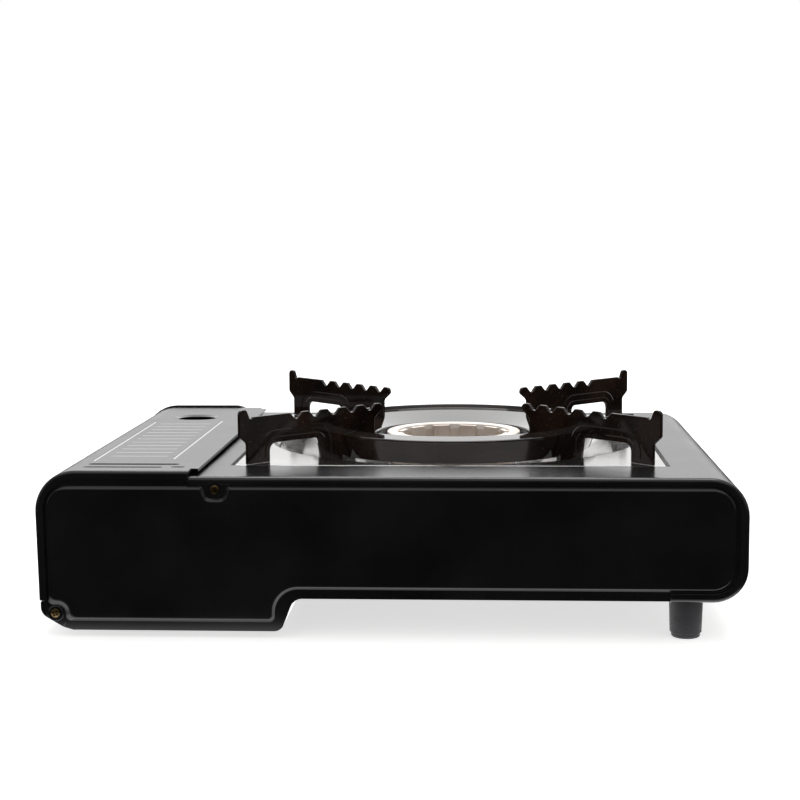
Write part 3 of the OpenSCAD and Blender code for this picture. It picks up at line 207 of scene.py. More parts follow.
finish = {
    "painted_steel": makePowderCoat("satinBlackPowderCoat", powderCoat),
    "black_enamel": makeEnamel("vitreousEnamel", enamel),
    # Bright-annealed stainless, pressed: near mirror, with rolling lines along X
    "polished_steel": makeMetal("polishedStainless", dict(
        dark="#c9c6c5", light="#d9d7d6", roughLow=0.10, roughHigh=0.20, along=0, lineMm=0.9, lineLengthMm=60,
        lineDepthMm=0.0006, stainMm=70)),
    # Die-cast aluminium, tumbled and machined on top: pale, warm and finely grained
    "cast_alloy": makeMetal("dieCastAluminium", dict(
        dark="#e2d8cf", light="#f5efe9", roughLow=0.5, roughHigh=0.72, along=2, lineMm=0.9, lineLengthMm=2,
        lineDepthMm=0.006, stainMm=14)),
    # Zinc-plated strip, left dull: grey with soft grain along Y
    "plated_steel": makeMetal("zincPlatedStrip", dict(
        dark="#8f9092", light="#aeb0b1", roughLow=0.32, roughHigh=0.48, along=1, lineMm=0.7, lineLengthMm=9,
        lineDepthMm=0.002, stainMm=9)),
    # Yellow chromate over zinc: straw colour that turns darker and browner in patches
    "yellow_zinc": makeMetal("yellowChromateZinc", dict(
        dark="#57492f", light="#8a7450", roughLow=0.24, roughHigh=0.42, along=0, lineMm=0.6, lineLengthMm=1.5,
        lineDepthMm=0.002, stainMm=2.2)),
    # Free-cutting brass, turned: fine lines left by the tool
    "brass": makeMetal("turnedBrass", dict(
        dark="#b38a45", light="#d2ad66", roughLow=0.18, roughHigh=0.30, along=0, lineMm=0.5, lineLengthMm=6,
        lineDepthMm=0.001, stainMm=5)),
    # Steatite, pressed, glazed and fired: off-white and glossy
    "ceramic": makeMoulded("glazedSteatite", dict(
        dark="#ddd6c8", light="#efeae0", roughLow=0.12, roughHigh=0.22, cloudMm=6, grainMm=1.5, grainDepthMm=0.004,
        ior=1.52)),
    # Silicone cover, extruded over the lead: soft sheen
    "lead_cover": makeMoulded("extrudedSilicone", dict(
        dark="#6a2018", light="#863024", roughLow=0.40, roughHigh=0.52, cloudMm=12, grainMm=1.0, grainDepthMm=0.006,
        ior=1.41)),
    # Nitrile rubber, compression moulded: nearly black, with a bloom that greys it
    "rubber": makeMoulded("nitrileRubber", dict(
        dark="#17171a", light="#26262a", roughLow=0.55, roughHigh=0.72, cloudMm=10, grainMm=0.9, grainDepthMm=0.02,
        ior=1.5)),
    # ABS, injection moulded in a spark-eroded tool: matt black with a fine even grain
    "black_plastic": makeMoulded("sparkTexturedAbs", dict(
        dark="#131313", light="#1d1d1c", roughLow=0.38, roughHigh=0.52, cloudMm=20, grainMm=0.8, grainDepthMm=0.02,
        ior=1.46)),
    # Aluminium foil dial, brushed across and lacquered
    "dial_print": makeMetal("brushedDialFoil", dict(
        dark="#b4b5b6", light="#c9cacb", roughLow=0.26, roughHigh=0.40, along=0, lineMm=0.5, lineLengthMm=25,
        lineDepthMm=0.0015, stainMm=12)),
}
for node, part in nodes.items():
    part.data.materials.clear()
    part.data.materials.append(finish[slotOf[node]])
print("finishes made:", len(finish))


def unit(v):
    return v / np.linalg.norm(v)


def rounded(corners, closed=True, steps=10):
    # Each corner (x, y, radius) becomes an arc that touches both its sides; radius 0 keeps the point
    parts, n = [], len(corners)
    for i, (x, y, r) in enumerate(corners):
        p = np.array([x, y], float)
        if r <= 0 or (not closed and i in (0, n - 1)):
            parts.append(p[None])
            continue
        u = unit(np.array(corners[(i - 1) % n][:2], float) - p)
        v = unit(np.array(corners[(i + 1) % n][:2], float) - p)
        half = math.acos(max(-1, min(1, float(u @ v)))) / 2
        centre = p + unit(u + v) * r / math.sin(half)
        a, b = p + u * r / math.tan(half) - centre, p + v * r / math.tan(half) - centre
        sweep = math.atan2(a[0] * b[1] - a[1] * b[0], a @ b)
        angle = math.atan2(a[1], a[0]) + sweep * np.linspace(0, 1, steps + 1)
        parts.append(centre + r * np.stack([np.cos(angle), np.sin(angle)], 1))
    return np.concatenate(parts)


def inset(corners, d, closed=True, least=0.05):
    # Every side moves d to its left, and each radius grows or shrinks with it, down to the least
    moved, n = [], len(corners)
    for i, (x, y, r) in enumerate(corners):
        p = np.array([x, y], float)
        a = np.array(corners[(i - 1) % n][:2], float) if closed or i else None
        b = np.array(corners[(i + 1) % n][:2], float) if closed or i < n - 1 else None
        u = unit(p - a) if a is not None else unit(b - p)
        v = unit(b - p) if b is not None else u
        normal = np.array([-u[1] - v[1], u[0] + v[0]]) / (1 + u @ v)
        turn = np.sign(u[0] * v[1] - u[1] * v[0])
        moved.append((p[0] + d * normal[0], p[1] + d * normal[1], max(r - turn * d, least) if r > 0 else 0))
    return moved


def gridFaces(rows, cols, wrapRows=False, wrapCols=False, keep=None):
    # Quads between neighbours of a rows x cols grid, left out where keep is False
    i = np.arange(rows if wrapRows else rows - 1)[:, None]
    j = np.arange(cols if wrapCols else cols - 1)[None, :]
    i2, j2 = (i + 1) % rows, (j + 1) % cols
    quads = np.stack([i * cols + j, i2 * cols + j, i2 * cols + j2, i * cols + j2], -1)
    return quads[keep] if keep is not None else quads.reshape(-1, 4)


def rowsToMesh(rows, **faces):
    # A stack of equally long rows of points becomes (points, quads)
    grid = np.stack(rows)
    return grid.reshape(-1, 3), gridFaces(*grid.shape[:2], **faces)


def turned(profile, segments, centre, steps, closed=False):
    # A profile of (radius, height, corner radius) turned once round the upright axis through centre
    line = rounded(profile, closed, steps)
    angle = np.linspace(0, 2 * np.pi, segments, endpoint=False)[:, None]
    grid = np.stack([centre[0] + line[:, 0] * np.cos(angle), centre[1] + line[:, 0] * np.sin(angle),
                     np.broadcast_to(line[:, 1], (segments, len(line)))], -1)
    return rowsToMesh(grid, wrapRows=True, wrapCols=closed)


def upright(points, y):
    # Flat (x, z) points stood up at depth y
    return np.stack([points[:, 0], np.broadcast_to(np.asarray(y, float), points[:, 0].shape), points[:, 1]], -1)


def level(points, z):
    # Flat (x, y) points laid at height z
    return np.column_stack([points, np.full(len(points), z)])


def makePiece(name, parts, node, caps=(), fills=(), wall=0, edge=0, away=None, smooth=35, weld=0.002):
    # parts: (points, quads) in mm; caps: flat loops closed by one face; fills: an outline and its hole, filled between.
    # wall: thickness put on the inner side; edge: radius of the bevel; away: a point that the faces look away from;
    # smooth: edges sharper than these degrees stay sharp; weld: points closer than this become one
    mesh = bpy.data.meshes.new(name)
    points, faces, base = [], [], 0
    for p, q in parts:
        points.append(p)
        faces += (q + base).tolist()
        base += len(p)
    for loop in caps:
        points.append(loop)
        faces.append(list(range(base, base + len(loop))))
        base += len(loop)
    mesh.from_pydata((np.concatenate(points) * mm).tolist(), [], faces)
    shape = bmesh.new()
    shape.from_mesh(mesh)
    for loops in fills:
        edges = []
        for loop in loops:
            corners = [shape.verts.new(v) for v in (loop * mm).tolist()]
            edges += [shape.edges.new((corners[i - 1], corners[i])) for i in range(len(corners))]
        bmesh.ops.triangle_fill(shape, edges=edges, use_beauty=True)
    bmesh.ops.remove_doubles(shape, verts=shape.verts, dist=weld * mm)
    bmesh.ops.dissolve_degenerate(shape, edges=shape.edges, dist=weld * mm)
    bmesh.ops.recalc_face_normals(shape, faces=shape.faces)
    if away is not None:
        middle = Vector(np.array(away) * mm)
        if sum(f.calc_area() * f.normal.dot(f.calc_center_median() - middle) for f in shape.faces) < 0:
            bmesh.ops.reverse_faces(shape, faces=shape.faces)
    shape.to_mesh(mesh)
    shape.free()
    mesh.shade_smooth()
    mesh.set_sharp_from_angle(angle=math.radians(smooth))
    piece = bpy.data.objects.new(name, mesh)
    bpy.context.scene.collection.objects.link(piece)
    if wall:
        sheetWall = piece.modifiers.new("sheet", "SOLIDIFY")
        sheetWall.thickness, sheetWall.offset = wall * mm, -1
    if edge:
        bevel = piece.modifiers.new("edges", "BEVEL")
        bevel.width, bevel.segments = edge * mm, 2
        bevel.limit_method, bevel.angle_limit = "ANGLE", math.radians(smooth)
    piece.modifiers.new("normals", "WEIGHTED_NORMAL").keep_sharp = True
    mesh.materials.append(finish[slotOf[node]])
    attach(piece, bodyOf[node])
    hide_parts(node)
    return piece


# Sizes that several pieces share, in millimetres, as in the part's source
shell = dict(halfW=170, frontY=-118, backY=136, deck=78.5, lidH=81.3, floor=19.5, well=3.5, stepX=45.5, stepW=6.2,
             sheet=0.8, bendR=18.5, wrapR=16.5, flangeTop=3.7, gap=0.1, opening=(-136.3, -108.5, 80.3, 99.5),
             burner=(-28.0, -4.5))
halfW, deck, floor, well, sheet = (shell[key] for key in ("halfW", "deck", "floor", "well", "sheet"))
openX0, openY0, openX1, openY1 = shell["opening"]
burnerX, burnerY = shell["burner"]
quarter = np.linspace(0, np.pi / 2, 8)  # angles over a fold


def foldRows(path, inner, y0, y1, foldR, stations, side, steps):
    # A long sheet from end y0 to end y1, which turns down at both ends over a fold to the flange's inner edge.
    # On the fold, depth below the skin = foldR (1 - cos a) and distance from the end = foldR (1 - sin a).
    # side: 1 where the sheet's inside is on the left of its path, and -1 where it is on the right
    arc = [(foldR * (1 - math.sin(a)), foldR * (1 - math.cos(a))) for a in quarter]

    def section(corners, y):
        return upright(rounded(corners, False, steps), y)

    rows = [section(inner, y0)]
    rows += [section(inset(path, side * d, False), y0 + back) for back, d in arc[::-1]]
    rows += [section(path, y) for y in stations]
    rows += [section(inset(path, side * d, False), y1 - back) for back, d in arc]
    return rows + [section(inner, y1)]


# Deck, side and lower wrap in one bent sheet, with folded end flanges and the opening over the tray
cover = dict(y0=-117.4, y1=135.4, ledgeX=95.3, wrapIn=36.6, flange=4.6, foldR=2.5, lipDrop=1.4, edge=0.25)
wrapZ, ledgeX, flange = floor - sheet, cover["ledgeX"] + sheet, cover["flange"]
flangeZ = deck - shell["flangeTop"]
coverPath = [(ledgeX, deck, 0), (openX1, deck, 0), (openX0, deck, 0), (-halfW, deck, shell["bendR"]),
             (-halfW, wrapZ, shell["wrapR"]), (cover["wrapIn"] - halfW, wrapZ, 0)]
coverInner = [(ledgeX, flangeZ, 0), (openX1, flangeZ, 0), (openX0, flangeZ, 0),
              (flange - halfW, flangeZ, shell["bendR"] - flange),
              (flange - halfW, wrapZ + flange, shell["wrapR"] - flange), (cover["wrapIn"] - halfW, wrapZ + flange, 0)]
rows = foldRows(coverPath, coverInner, cover["y0"], cover["y1"], cover["foldR"], [openY0, openY1], side=1, steps=10)
keep = np.ones((len(rows) - 1, len(rows[0]) - 1), bool)
keep[len(quarter) + 1, 1] = False  # the opening
opening = np.array([[openX0, openY0], [openX1, openY0], [openX1, openY1], [openX0, openY1]])
lip = rowsToMesh([level(opening, z) for z in (deck, deck - sheet - cover["lipDrop"])], wrapCols=True)
makePiece("topCover", [rowsToMesh(rows, keep=keep), lip], "top_cover", wall=sheet, edge=cover["edge"],
          away=(burnerX, 0, 45))


# End panel: its outline in x and z, and a field pressed out of it, whose wall runs from a foot loop to a top loop.
# The corner lists hold (x, z, radius). low: the panel's bottom edge from the body's step to the bay's foot
panel = dict(wall=0.6, edge=0.15, lidGap=0.3, lidX=97.2, lidIn=3, lidR=17,
             low=[(shell["stepX"], floor, 6), (shell["stepX"] + shell["stepW"], well, 5), (152.6, well, 1.5),
                  (157.4, 4.9, 5), (168.2, 11.3, 5.5), (168.2, 17.5, 0.8), (166.4, 17.5, 0)],
             screwLow=(161.0, 11.8), screwTopX=82.5, screwDown=2.3, margin=4.4, groove=0.9, up=0.2, flange=4,
             stepIn=2.6, endIn=5.5, height=1.4, slope=2.1, bayR=5.2, bayDown=4.2)
edgeIn = sheet + shell["gap"]
lidSeat, deckSeat = shell["lidH"] - sheet - panel["lidGap"], deck - sheet - shell["gap"]
panelOutline = ([(-halfW + edgeIn, floor, shell["wrapR"] - edgeIn)] + panel["low"]
                + [(halfW - sheet - panel["lidIn"], lidSeat, panel["lidR"]), (panel["lidX"], lidSeat, 0),
                   (panel["lidX"], deckSeat, 0), (-halfW + edgeIn, deckSeat, shell["bendR"] - edgeIn)])
screwLow = panel["screwLow"]
screwTop = (panel["screwTopX"], deck - shell["flangeTop"] - panel["screwDown"] - panel["up"])
fieldLow, fieldMid = well + panel["margin"], floor + panel["margin"]
fieldTop = deck - shell["flangeTop"] - panel["groove"] + panel["up"]
fieldEnd, fieldSide = -halfW + panel["endIn"], halfW - panel["flange"] - panel["groove"]
fieldStep = shell["stepX"] + shell["stepW"] + panel["stepIn"]
slope, bayX, bayR, bayZ = panel["slope"], screwTop[0], panel["bayR"], screwTop[1] - panel["bayDown"]
fieldFoot = [(fieldEnd, fieldMid, 11.5), (fieldStep, fieldMid, 11), (fieldStep, fieldLow, 3.4), (156.2, fieldLow, 2.5),
             (156.6, 14.9, 3.5), (164.9, 15.6, 3), (fieldSide, 20.5, 4), (fieldSide, fieldTop, 10.5),
             (bayX + bayR + 0.4, fieldTop, 1.4), (bayX + bayR - 1.2, bayZ, 3.2), (bayX - bayR + 1.2, bayZ, 3.2),
             (bayX - bayR - 0.4, fieldTop, 1.4), (fieldEnd, fieldTop, 12)]
fieldCrest = inset(fieldFoot, slope)
# Round both screws the field's wall leans back further than elsewhere
fieldCrest[3:7] = [(152.6, fieldLow + slope, 3), (153.8, 18.2, 7), (162.6, 19.4, 3.5), (fieldSide - slope, 22.4, 3)]
fieldCrest[8:12] = [(bayX + bayR + 2.2, fieldTop - slope, 1.6), (bayX + bayR + 0.4, bayZ - 2, 4.2),
                    (bayX - bayR - 0.4, bayZ - 2, 4.2), (bayX - bayR - 2.2, fieldTop - slope, 1.6)]
# Section of the wall, as (share of the way from foot to crest, share of the height, radius)
wallStep = rounded([(-0.3, 0, 0), (0.12, 0, 0.16), (0.82, 1, 0.5), (1.35, 1, 0)], closed=False, steps=7)
screwRing = dict(innerR=3.2, width=1.0, height=0.28, sink=0.03, segments=48, steps=7)


def endPanel(name, node, faceY, side):
    # Wall: point = foot + (crest - foot) s, raised by H h, with s and h from the section
    borderY = faceY - side * panel["height"]
    foot, crest = rounded(fieldFoot, steps=9), rounded(fieldCrest, steps=9)
    rows = [upright(foot + (crest - foot) * s, borderY + side * panel["height"] * h) for s, h in wallStep]
    # Ring pressed up round the low screw: radius = inner + width (1 - cos b) / 2, height = h sin b
    angle = np.linspace(0, 2 * np.pi, screwRing["segments"], endpoint=False)
    swell = np.linspace(0, np.pi, screwRing["steps"])
    circle = np.column_stack([np.cos(angle), np.sin(angle)])
    ringRows = [upright(circle * r + screwLow, borderY + side * h)
                for r, h in zip(screwRing["innerR"] + screwRing["width"] / 2 * (1 - np.cos(swell)),
                                screwRing["height"] * np.sin(swell) - screwRing["sink"])]
    outer = upright(rounded(panelOutline, steps=9), borderY)
    makePiece(name, [rowsToMesh(rows, wrapCols=True), rowsToMesh(ringRows, wrapCols=True)], node,
              fills=[(outer, rows[0]), (rows[-1],)], wall=panel["wall"], edge=panel["edge"], away=(0, 0, 50))


endPanel("backPanel", "back_panel", shell["backY"], 1)
endPanel("frontPanel", "front_panel", shell["frontY"], -1)
print("cover and end panels made")


# Lid over the fuel bay: one bent sheet with folded ends, a dish round the finger hole and pressed grooves.
# grooves: (x, y, length, width, depth)
lid = dict(x0=91.4, top=shell["lidH"], lipLow=79.9, lipR=0.7, outer=170, bendR=20, footX=168.9, footZ=17.9,
           y0=-117.6, y1=135.6, foldR=2.0, flange=4, notchW=3.6, notchL=8, edge=0.12,
           fingerX=127.4, fingerY=-68, fingerL=22, fingerW=19, dish=0.9, slope=3.2, mouthR=1.0, footR=0.05,
           grooves=[(125.6, 114.2, 45, 4.0, 1.2), (129.2, 123.4, 39, 3.0, 0.8), (102.4, 122.6, 7, 3.2, 0.9)],
           grooveSlope=1, grooveMouthR=0.5, grooveFootR=0.2, cutX=107.6, cutsY=(-40, 108, 118.4))


def slotLoop(x, y, length, width, z, steps=14):
    # A stadium round (x, y): two half circles of the width, joined by straights
    a = np.linspace(-np.pi / 2, np.pi / 2, steps)
    end = np.column_stack([np.cos(a), np.sin(a)]) * width / 2 + [(length - width) / 2, 0]
    return level(np.concatenate([end, -end]) + [x, y], z)


def pressed(x, y, length, width, depth, slope, mouthR, footR):
    # Stadium rows from the lid's flat top down the wall of a pressing; the wall's section is a rounded step
    line = rounded([(slope + mouthR, 0, 0), (slope, 0, mouthR), (0, -depth, footR), (-footR, -depth, 0)],
                   closed=False, steps=6)
    return [slotLoop(x, y, length + 2 * out, width + 2 * out, lid["top"] + down) for out, down in line]


lidPath = [(lid["x0"] + lid["notchW"], lid["top"], 0), (lid["cutX"], lid["top"], 0),
           (lid["outer"], lid["top"], lid["bendR"]), (lid["footX"], lid["footZ"], 0)]
lidInner = inset(lidPath, -lid["flange"], closed=False)
cuts = [lid["y0"] + lid["notchL"], *lid["cutsY"], lid["y1"] - lid["notchL"]]
rows = foldRows(lidPath, lidInner, lid["y0"], lid["y1"], lid["foldR"], cuts, side=-1, steps=16)
keep = np.ones((len(rows) - 1, len(rows[0]) - 1), bool)
keep[len(quarter) + 1:len(quarter) + len(cuts), :2] = False  # the flat top, which is filled round the pressings
columns = rows[len(quarter) + 1][:3, 0]
lipPath = rounded([(lid["x0"], lid["lipLow"], 0), (lid["x0"], lid["top"], lid["lipR"]), lidPath[0]], closed=False,
                  steps=8)
dishRows = pressed(lid["fingerX"], lid["fingerY"], lid["fingerL"], lid["fingerW"], lid["dish"], lid["slope"],
                   lid["mouthR"], lid["footR"])
grooveRows = [pressed(x, y, length - 2 * lid["grooveSlope"], width - 2 * lid["grooveSlope"], depth, lid["grooveSlope"],
                      lid["grooveMouthR"], lid["grooveFootR"]) for x, y, length, width, depth in lid["grooves"]]


def flatPart(xs, y0, y1):
    # Rectangle of the flat top, with a point at every one of the given X
    return level(np.array([[x, y0] for x in xs] + [[x, y1] for x in xs[::-1]]), lid["top"])


# One hole at most in each filled part, and the same points on both sides of every cut
flatFills = [(flatPart(columns, cuts[0], cuts[1]), dishRows[0]), (flatPart(columns, cuts[1], cuts[2]),),
             (flatPart(columns, cuts[2], cuts[3]), grooveRows[0][0]),
             (flatPart(columns[1:], cuts[3], cuts[4]), grooveRows[1][0]),
             (flatPart(columns[:2], cuts[3], cuts[4]), grooveRows[2][0])]
lidPiece = makePiece("lidPanel", [rowsToMesh(rows, keep=keep), rowsToMesh([upright(lipPath, y) for y in cuts])]
                     + [rowsToMesh(r, wrapCols=True) for r in [dishRows] + grooveRows], "lid",
                     caps=[r[-1] for r in grooveRows], fills=flatFills, wall=sheet, edge=lid["edge"], away=(120, 0, 40))
lidPiece.data.materials[0] = printOnto(makePowderCoat("printedPowderCoat", powderCoat), lidPrint)

# Rolled knuckles: the sheet runs down and curls round the pin, through the angles of curl in degrees
knuckle = dict(x=168.2, z=16, radius=1.6, wall=0.5, length=30, places=(-78.4, 96.4), curl=(82, -215), steps=26,
               out=0.01, up=0.5, edge=0.08)
angle = np.radians(np.linspace(*knuckle["curl"], knuckle["steps"]))
curl = np.column_stack([knuckle["x"] + knuckle["radius"] * np.cos(angle),
                        knuckle["z"] + knuckle["radius"] * np.sin(angle)])
curl = np.concatenate([[[lid["footX"] + knuckle["out"], lid["footZ"] + knuckle["up"]]], curl])
knuckles = [rowsToMesh([upright(curl, y + side * knuckle["length"] / 2) for side in (-1, 1)])
            for y in knuckle["places"]]
makePiece("lidKnuckles", knuckles, "lid", wall=knuckle["wall"], edge=knuckle["edge"],
          away=(knuckle["x"], 9, knuckle["z"]))
print("lid made")


# Drip tray: polished square rim that stands in the opening, and a round dish turned down in it
tray = dict(gap=1.2, top=78.3, sheet=0.5, cornerR=4, foldR=1.1, skirtLow=75.7, hookReach=4.9, hookR=7, bowlR=35.5,
            floor=66.5, flatR=50, coneR=96.5, coneZ=74.3, mouthR=100.5, rimR=102.1, edge=0.08)


def squareLoop(out, z, corner):
    # Rounded square round the opening, out millimetres beyond its edge, at height z
    x0, y0, x1, y1 = openX0 - out, openY0 - out, openX1 + out, openY1 + out
    return level(rounded([(x0, y0, corner), (x1, y0, corner), (x1, y1, corner), (x0, y1, corner)], steps=8), z)


def circleLoop(r, z):
    # Circle of radius r round the burner's axis at height z
    a = np.linspace(0, 2 * np.pi, 160, endpoint=False)
    return level(np.column_stack([burnerX + r * np.cos(a), burnerY + r * np.sin(a)]), z)


dishProfile = rounded([(tray["bowlR"], tray["floor"], 0), (tray["flatR"], tray["floor"], 6),
                       (tray["coneR"], tray["coneZ"], 2), (tray["mouthR"], tray["top"], 1.5),
                       (tray["rimR"], tray["top"], 0)], closed=False, steps=6)
dish = rowsToMesh([circleLoop(r, z) for r, z in dishProfile], wrapCols=True)
# The rim folds down over its radius: inset = foldR (1 - sin a), drop = foldR (1 - cos a). Its skirt ends in a hook
folds = [(tray["foldR"] * (1 - math.sin(a)), tray["foldR"] * (1 - math.cos(a))) for a in quarter]
skirt = [squareLoop(-tray["gap"] - back, tray["top"] - drop, tray["cornerR"] - back) for back, drop in folds]
skirt += [squareLoop(-tray["gap"], tray["skirtLow"] + tray["sheet"], tray["cornerR"]),
          squareLoop(tray["hookReach"], tray["skirtLow"] + tray["sheet"], tray["hookR"])]
makePiece("dripTray", [dish, rowsToMesh(skirt, wrapCols=True)], "drip_tray", wall=tray["sheet"], edge=tray["edge"],
          fills=[(skirt[0], circleLoop(tray["rimR"], tray["top"]))], away=(burnerX, burnerY, 40), smooth=40)
print("drip tray made")


# Pan ring: one turned sheet with a broad sloping rim, a low step down to its dish and a lipped hole
ring = dict(wall=1.2, edge=0.3, profile=[(75.6, 75.0, 0), (80.4, 87.2, 1.0), (70.4, 88.6, 0.8), (69.2, 86.4, 0.8),
                                         (43, 81.1, 1.5), (43, 76.1, 0)])
makePiece("panRing", [turned(ring["profile"], segments=192, centre=(burnerX, burnerY), steps=8)], "pan_ring",
          wall=ring["wall"], edge=ring["edge"], away=(burnerX, burnerY, 60))
print("pan ring made")


# Fins of the pan support: plate section in (radius, height, corner radius), with notches on top, a horn, a window
# between two legs and a pressed rib; ribStep: the rib's edge as (distance inwards, height, corner radius)
fin = dict(thick=1.8, rimR=0.4, clear=0.12, tipTop=(53, 102, 2.4), tipLow=(53, 98.6, 1), heel=(58.6, 94.5, 2.5),
           notches=5, firstNotch=62, pitch=12.3, halfNotch=4.0, notchZ=98.05, edgeR=0.9, bottomR=1.8,
           horn=[(138.4, 102, 0.8), (140.4, 100.6, 1), (142.6, 105.9, 1.8), (147.2, 105.9, 2.3), (147.2, 92.9, 1.5)],
           legs=[(142.6, 88.9, 2), (142.6, 78.4, 0), (128.4, 78.4, 0), (128.4, 87.8, 4), (97.0, 87.8, 3),
                 (95.0, 74.15, 0), (80.8, 71.77, 0), (80.8, 77.2, 0)],
           rib=[(131.0, 80.3, 1), (131.0, 90.4, 6.6), (92.4, 90.4, 5.6), (92.4, 77.15, 1), (88.4, 77.15, 1),
                (88.4, 94.4, 9.6), (135.0, 94.4, 10.6), (135.0, 80.3, 1)],
           ribStep=[(-0.75, 0, 0), (-0.05, 0, 0.35), (0.45, 0.28, 0.35), (0.95, 0.28, 0)],
           angles=dict(fin_back_bay=45, fin_back_side=135, fin_front_side=225, fin_front_bay=315))
toothZ, heelR = fin["tipTop"][1], fin["heel"][0]
notches = [corner for r in fin["firstNotch"] + fin["pitch"] * np.arange(fin["notches"]) for corner in
           [(r - fin["halfNotch"], toothZ, fin["edgeR"]), (r, fin["notchZ"], fin["bottomR"]),
            (r + fin["halfNotch"], toothZ, fin["edgeR"])]]
overRing = inset(ring["profile"][:5], -fin["clear"], closed=False)
stepTop, hole = overRing[3:]
heelZ = hole[1] + (stepTop[1] - hole[1]) / (stepTop[0] - hole[0]) * (heelR - hole[0])
finOutline = ([fin["tipTop"]] + notches + fin["horn"] + fin["legs"] + overRing[:4]
              + [(heelR, heelZ, 0), fin["heel"], fin["tipLow"]])


def finLoop(corners, d, h, angle):
    # The outline moved in by d, laid at height h along the plate's normal, and turned by angle about the burner
    flat = rounded(inset(corners, -d), steps=7)
    c, s = math.cos(angle), math.sin(angle)
    return np.column_stack([burnerX + flat[:, 0] * c + h * s, burnerY + flat[:, 0] * s - h * c, flat[:, 1]])


def makeFin(node, angle):
    # The rim is a half round: inset = rimR (1 - sin b), height = thick / 2 - rimR (1 - cos b).
    # The rib is a rounded step of the same height on both sides
    half, rimR = fin["thick"] / 2, fin["rimR"]
    rim = [(rimR * (1 - math.sin(b)), half - rimR * (1 - math.cos(b))) for b in np.linspace(0, np.pi / 2, 5)]
    edgeRows = [finLoop(finOutline, d, h, angle) for d, h in rim + [(d, -h) for d, h in rim[::-1]]]
    step = rounded(fin["ribStep"], closed=False, steps=4)
    ribOut = [finLoop(fin["rib"], d, half + h, angle) for d, h in step]
    ribIn = [finLoop(fin["rib"], d, h - half, angle) for d, h in step]
    first, *others = node.split("_")
    makePiece(first + "".join(word.capitalize() for word in others),
              [rowsToMesh(r, wrapCols=True) for r in (edgeRows, ribOut, ribIn)], node, caps=[ribOut[-1], ribIn[-1]],
              fills=[(edgeRows[0], ribOut[0]), (edgeRows[-1], ribIn[0])], smooth=40)


for node, degrees in fin["angles"].items():
    makeFin(node, math.radians(degrees))
print("fins made")


# Burner head: a turned rim with a throat, and port blocks between the flame slots inside it
burner = dict(profile=[(30, 68.3, 0), (33, 68.3, 0), (33, 76.3, 1), (36.9, 79.9, 1), (36.9, 82.3, 0.8), (31, 82.3, 0.8),
                       (30, 79.3, 1)], edge=0.2,
              ports=12, portX=(28.0, 30.6), portHalf=4.9, portZ=(68.4, 81.4), portR=0.9)
(innerX, outerX), halfPort = burner["portX"], burner["portHalf"]
portBox = rounded([(innerX, -halfPort, burner["portR"]), (outerX, -halfPort, 0), (outerX, halfPort, 0),
                   (innerX, halfPort, burner["portR"])], steps=4)
blocks, blockCaps = [], []
for k in range(burner["ports"]):
    a = (k + 0.5) * 2 * math.pi / burner["ports"]
    flat = portBox @ np.array([[math.cos(a), math.sin(a)], [-math.sin(a), math.cos(a)]]) + [burnerX, burnerY]
    ends = [level(flat, z) for z in burner["portZ"]]
    blocks.append(rowsToMesh(ends, wrapCols=True))
    blockCaps += ends
head = turned(burner["profile"], segments=192, centre=(burnerX, burnerY), steps=6, closed=True)
makePiece("burnerHead", [head] + blocks, "burner_head", caps=blockCaps, edge=burner["edge"])
print("burner head made")


# Cross-recessed pan-head screws of the end panels; shares are of the head's radius or height
screw = dict(headR=2.3, headH=1.5, crown=0.35, rimShare=0.2, rimFall=0.75, skirt=(0.3, -0.05), crossW=0.42, crossL=1.45,
             crossDeep=0.9, soft=0.12, turn=0.5, segments=72, rings=26, eye=0.02, seats={134.5: 1, -116.5: -1})


def screwHead(x, z, seatY, side):
    # Height = H (1 - crown s^2) sqrt(1 - fall e^2) with s = r/R and e = share of the outer rounding, less a smooth pit
    # for the cross, where the smaller of |u| and |v| is under crossW and the larger under crossL
    share = np.concatenate([np.linspace(screw["eye"], 1, screw["rings"]), [1.0, 1.0]])
    r, a = np.meshgrid(share, np.linspace(0, 2 * np.pi, screw["segments"], endpoint=False), indexing="ij")
    u, v = r * np.cos(a) * screw["headR"], r * np.sin(a) * screw["headR"]
    outer = np.clip((r - (1 - screw["rimShare"])) / screw["rimShare"], 0, 1)
    h = screw["headH"] * (1 - screw["crown"] * r ** 2) * np.sqrt(np.clip(1 - outer ** 2 * screw["rimFall"], 0, 1))
    pit = 1
    for pick, limit in ((np.minimum, screw["crossW"]), (np.maximum, screw["crossL"])):
        t = np.clip((limit + screw["soft"] - pick(abs(u), abs(v))) / (2 * screw["soft"]), 0, 1)
        pit = pit * (t ** 2 * (3 - 2 * t))
    h -= screw["crossDeep"] * pit
    h[-2:] = np.array(screw["skirt"])[:, None]
    c, s = math.cos(screw["turn"]), math.sin(screw["turn"])
    return rowsToMesh(np.stack([x + (u * c - v * s), seatY + side * h, z + (u * s + v * c)], -1), wrapCols=True)


heads = [screwHead(x, z, seatY, side) for seatY, side in screw["seats"].items() for x, z in (screwLow, screwTop)]
makePiece("panelScrews", heads, "panel_screws", caps=[points[:screw["segments"]][::-1] for points, _ in heads],
          smooth=50, weld=0.0005)
print("screws made")


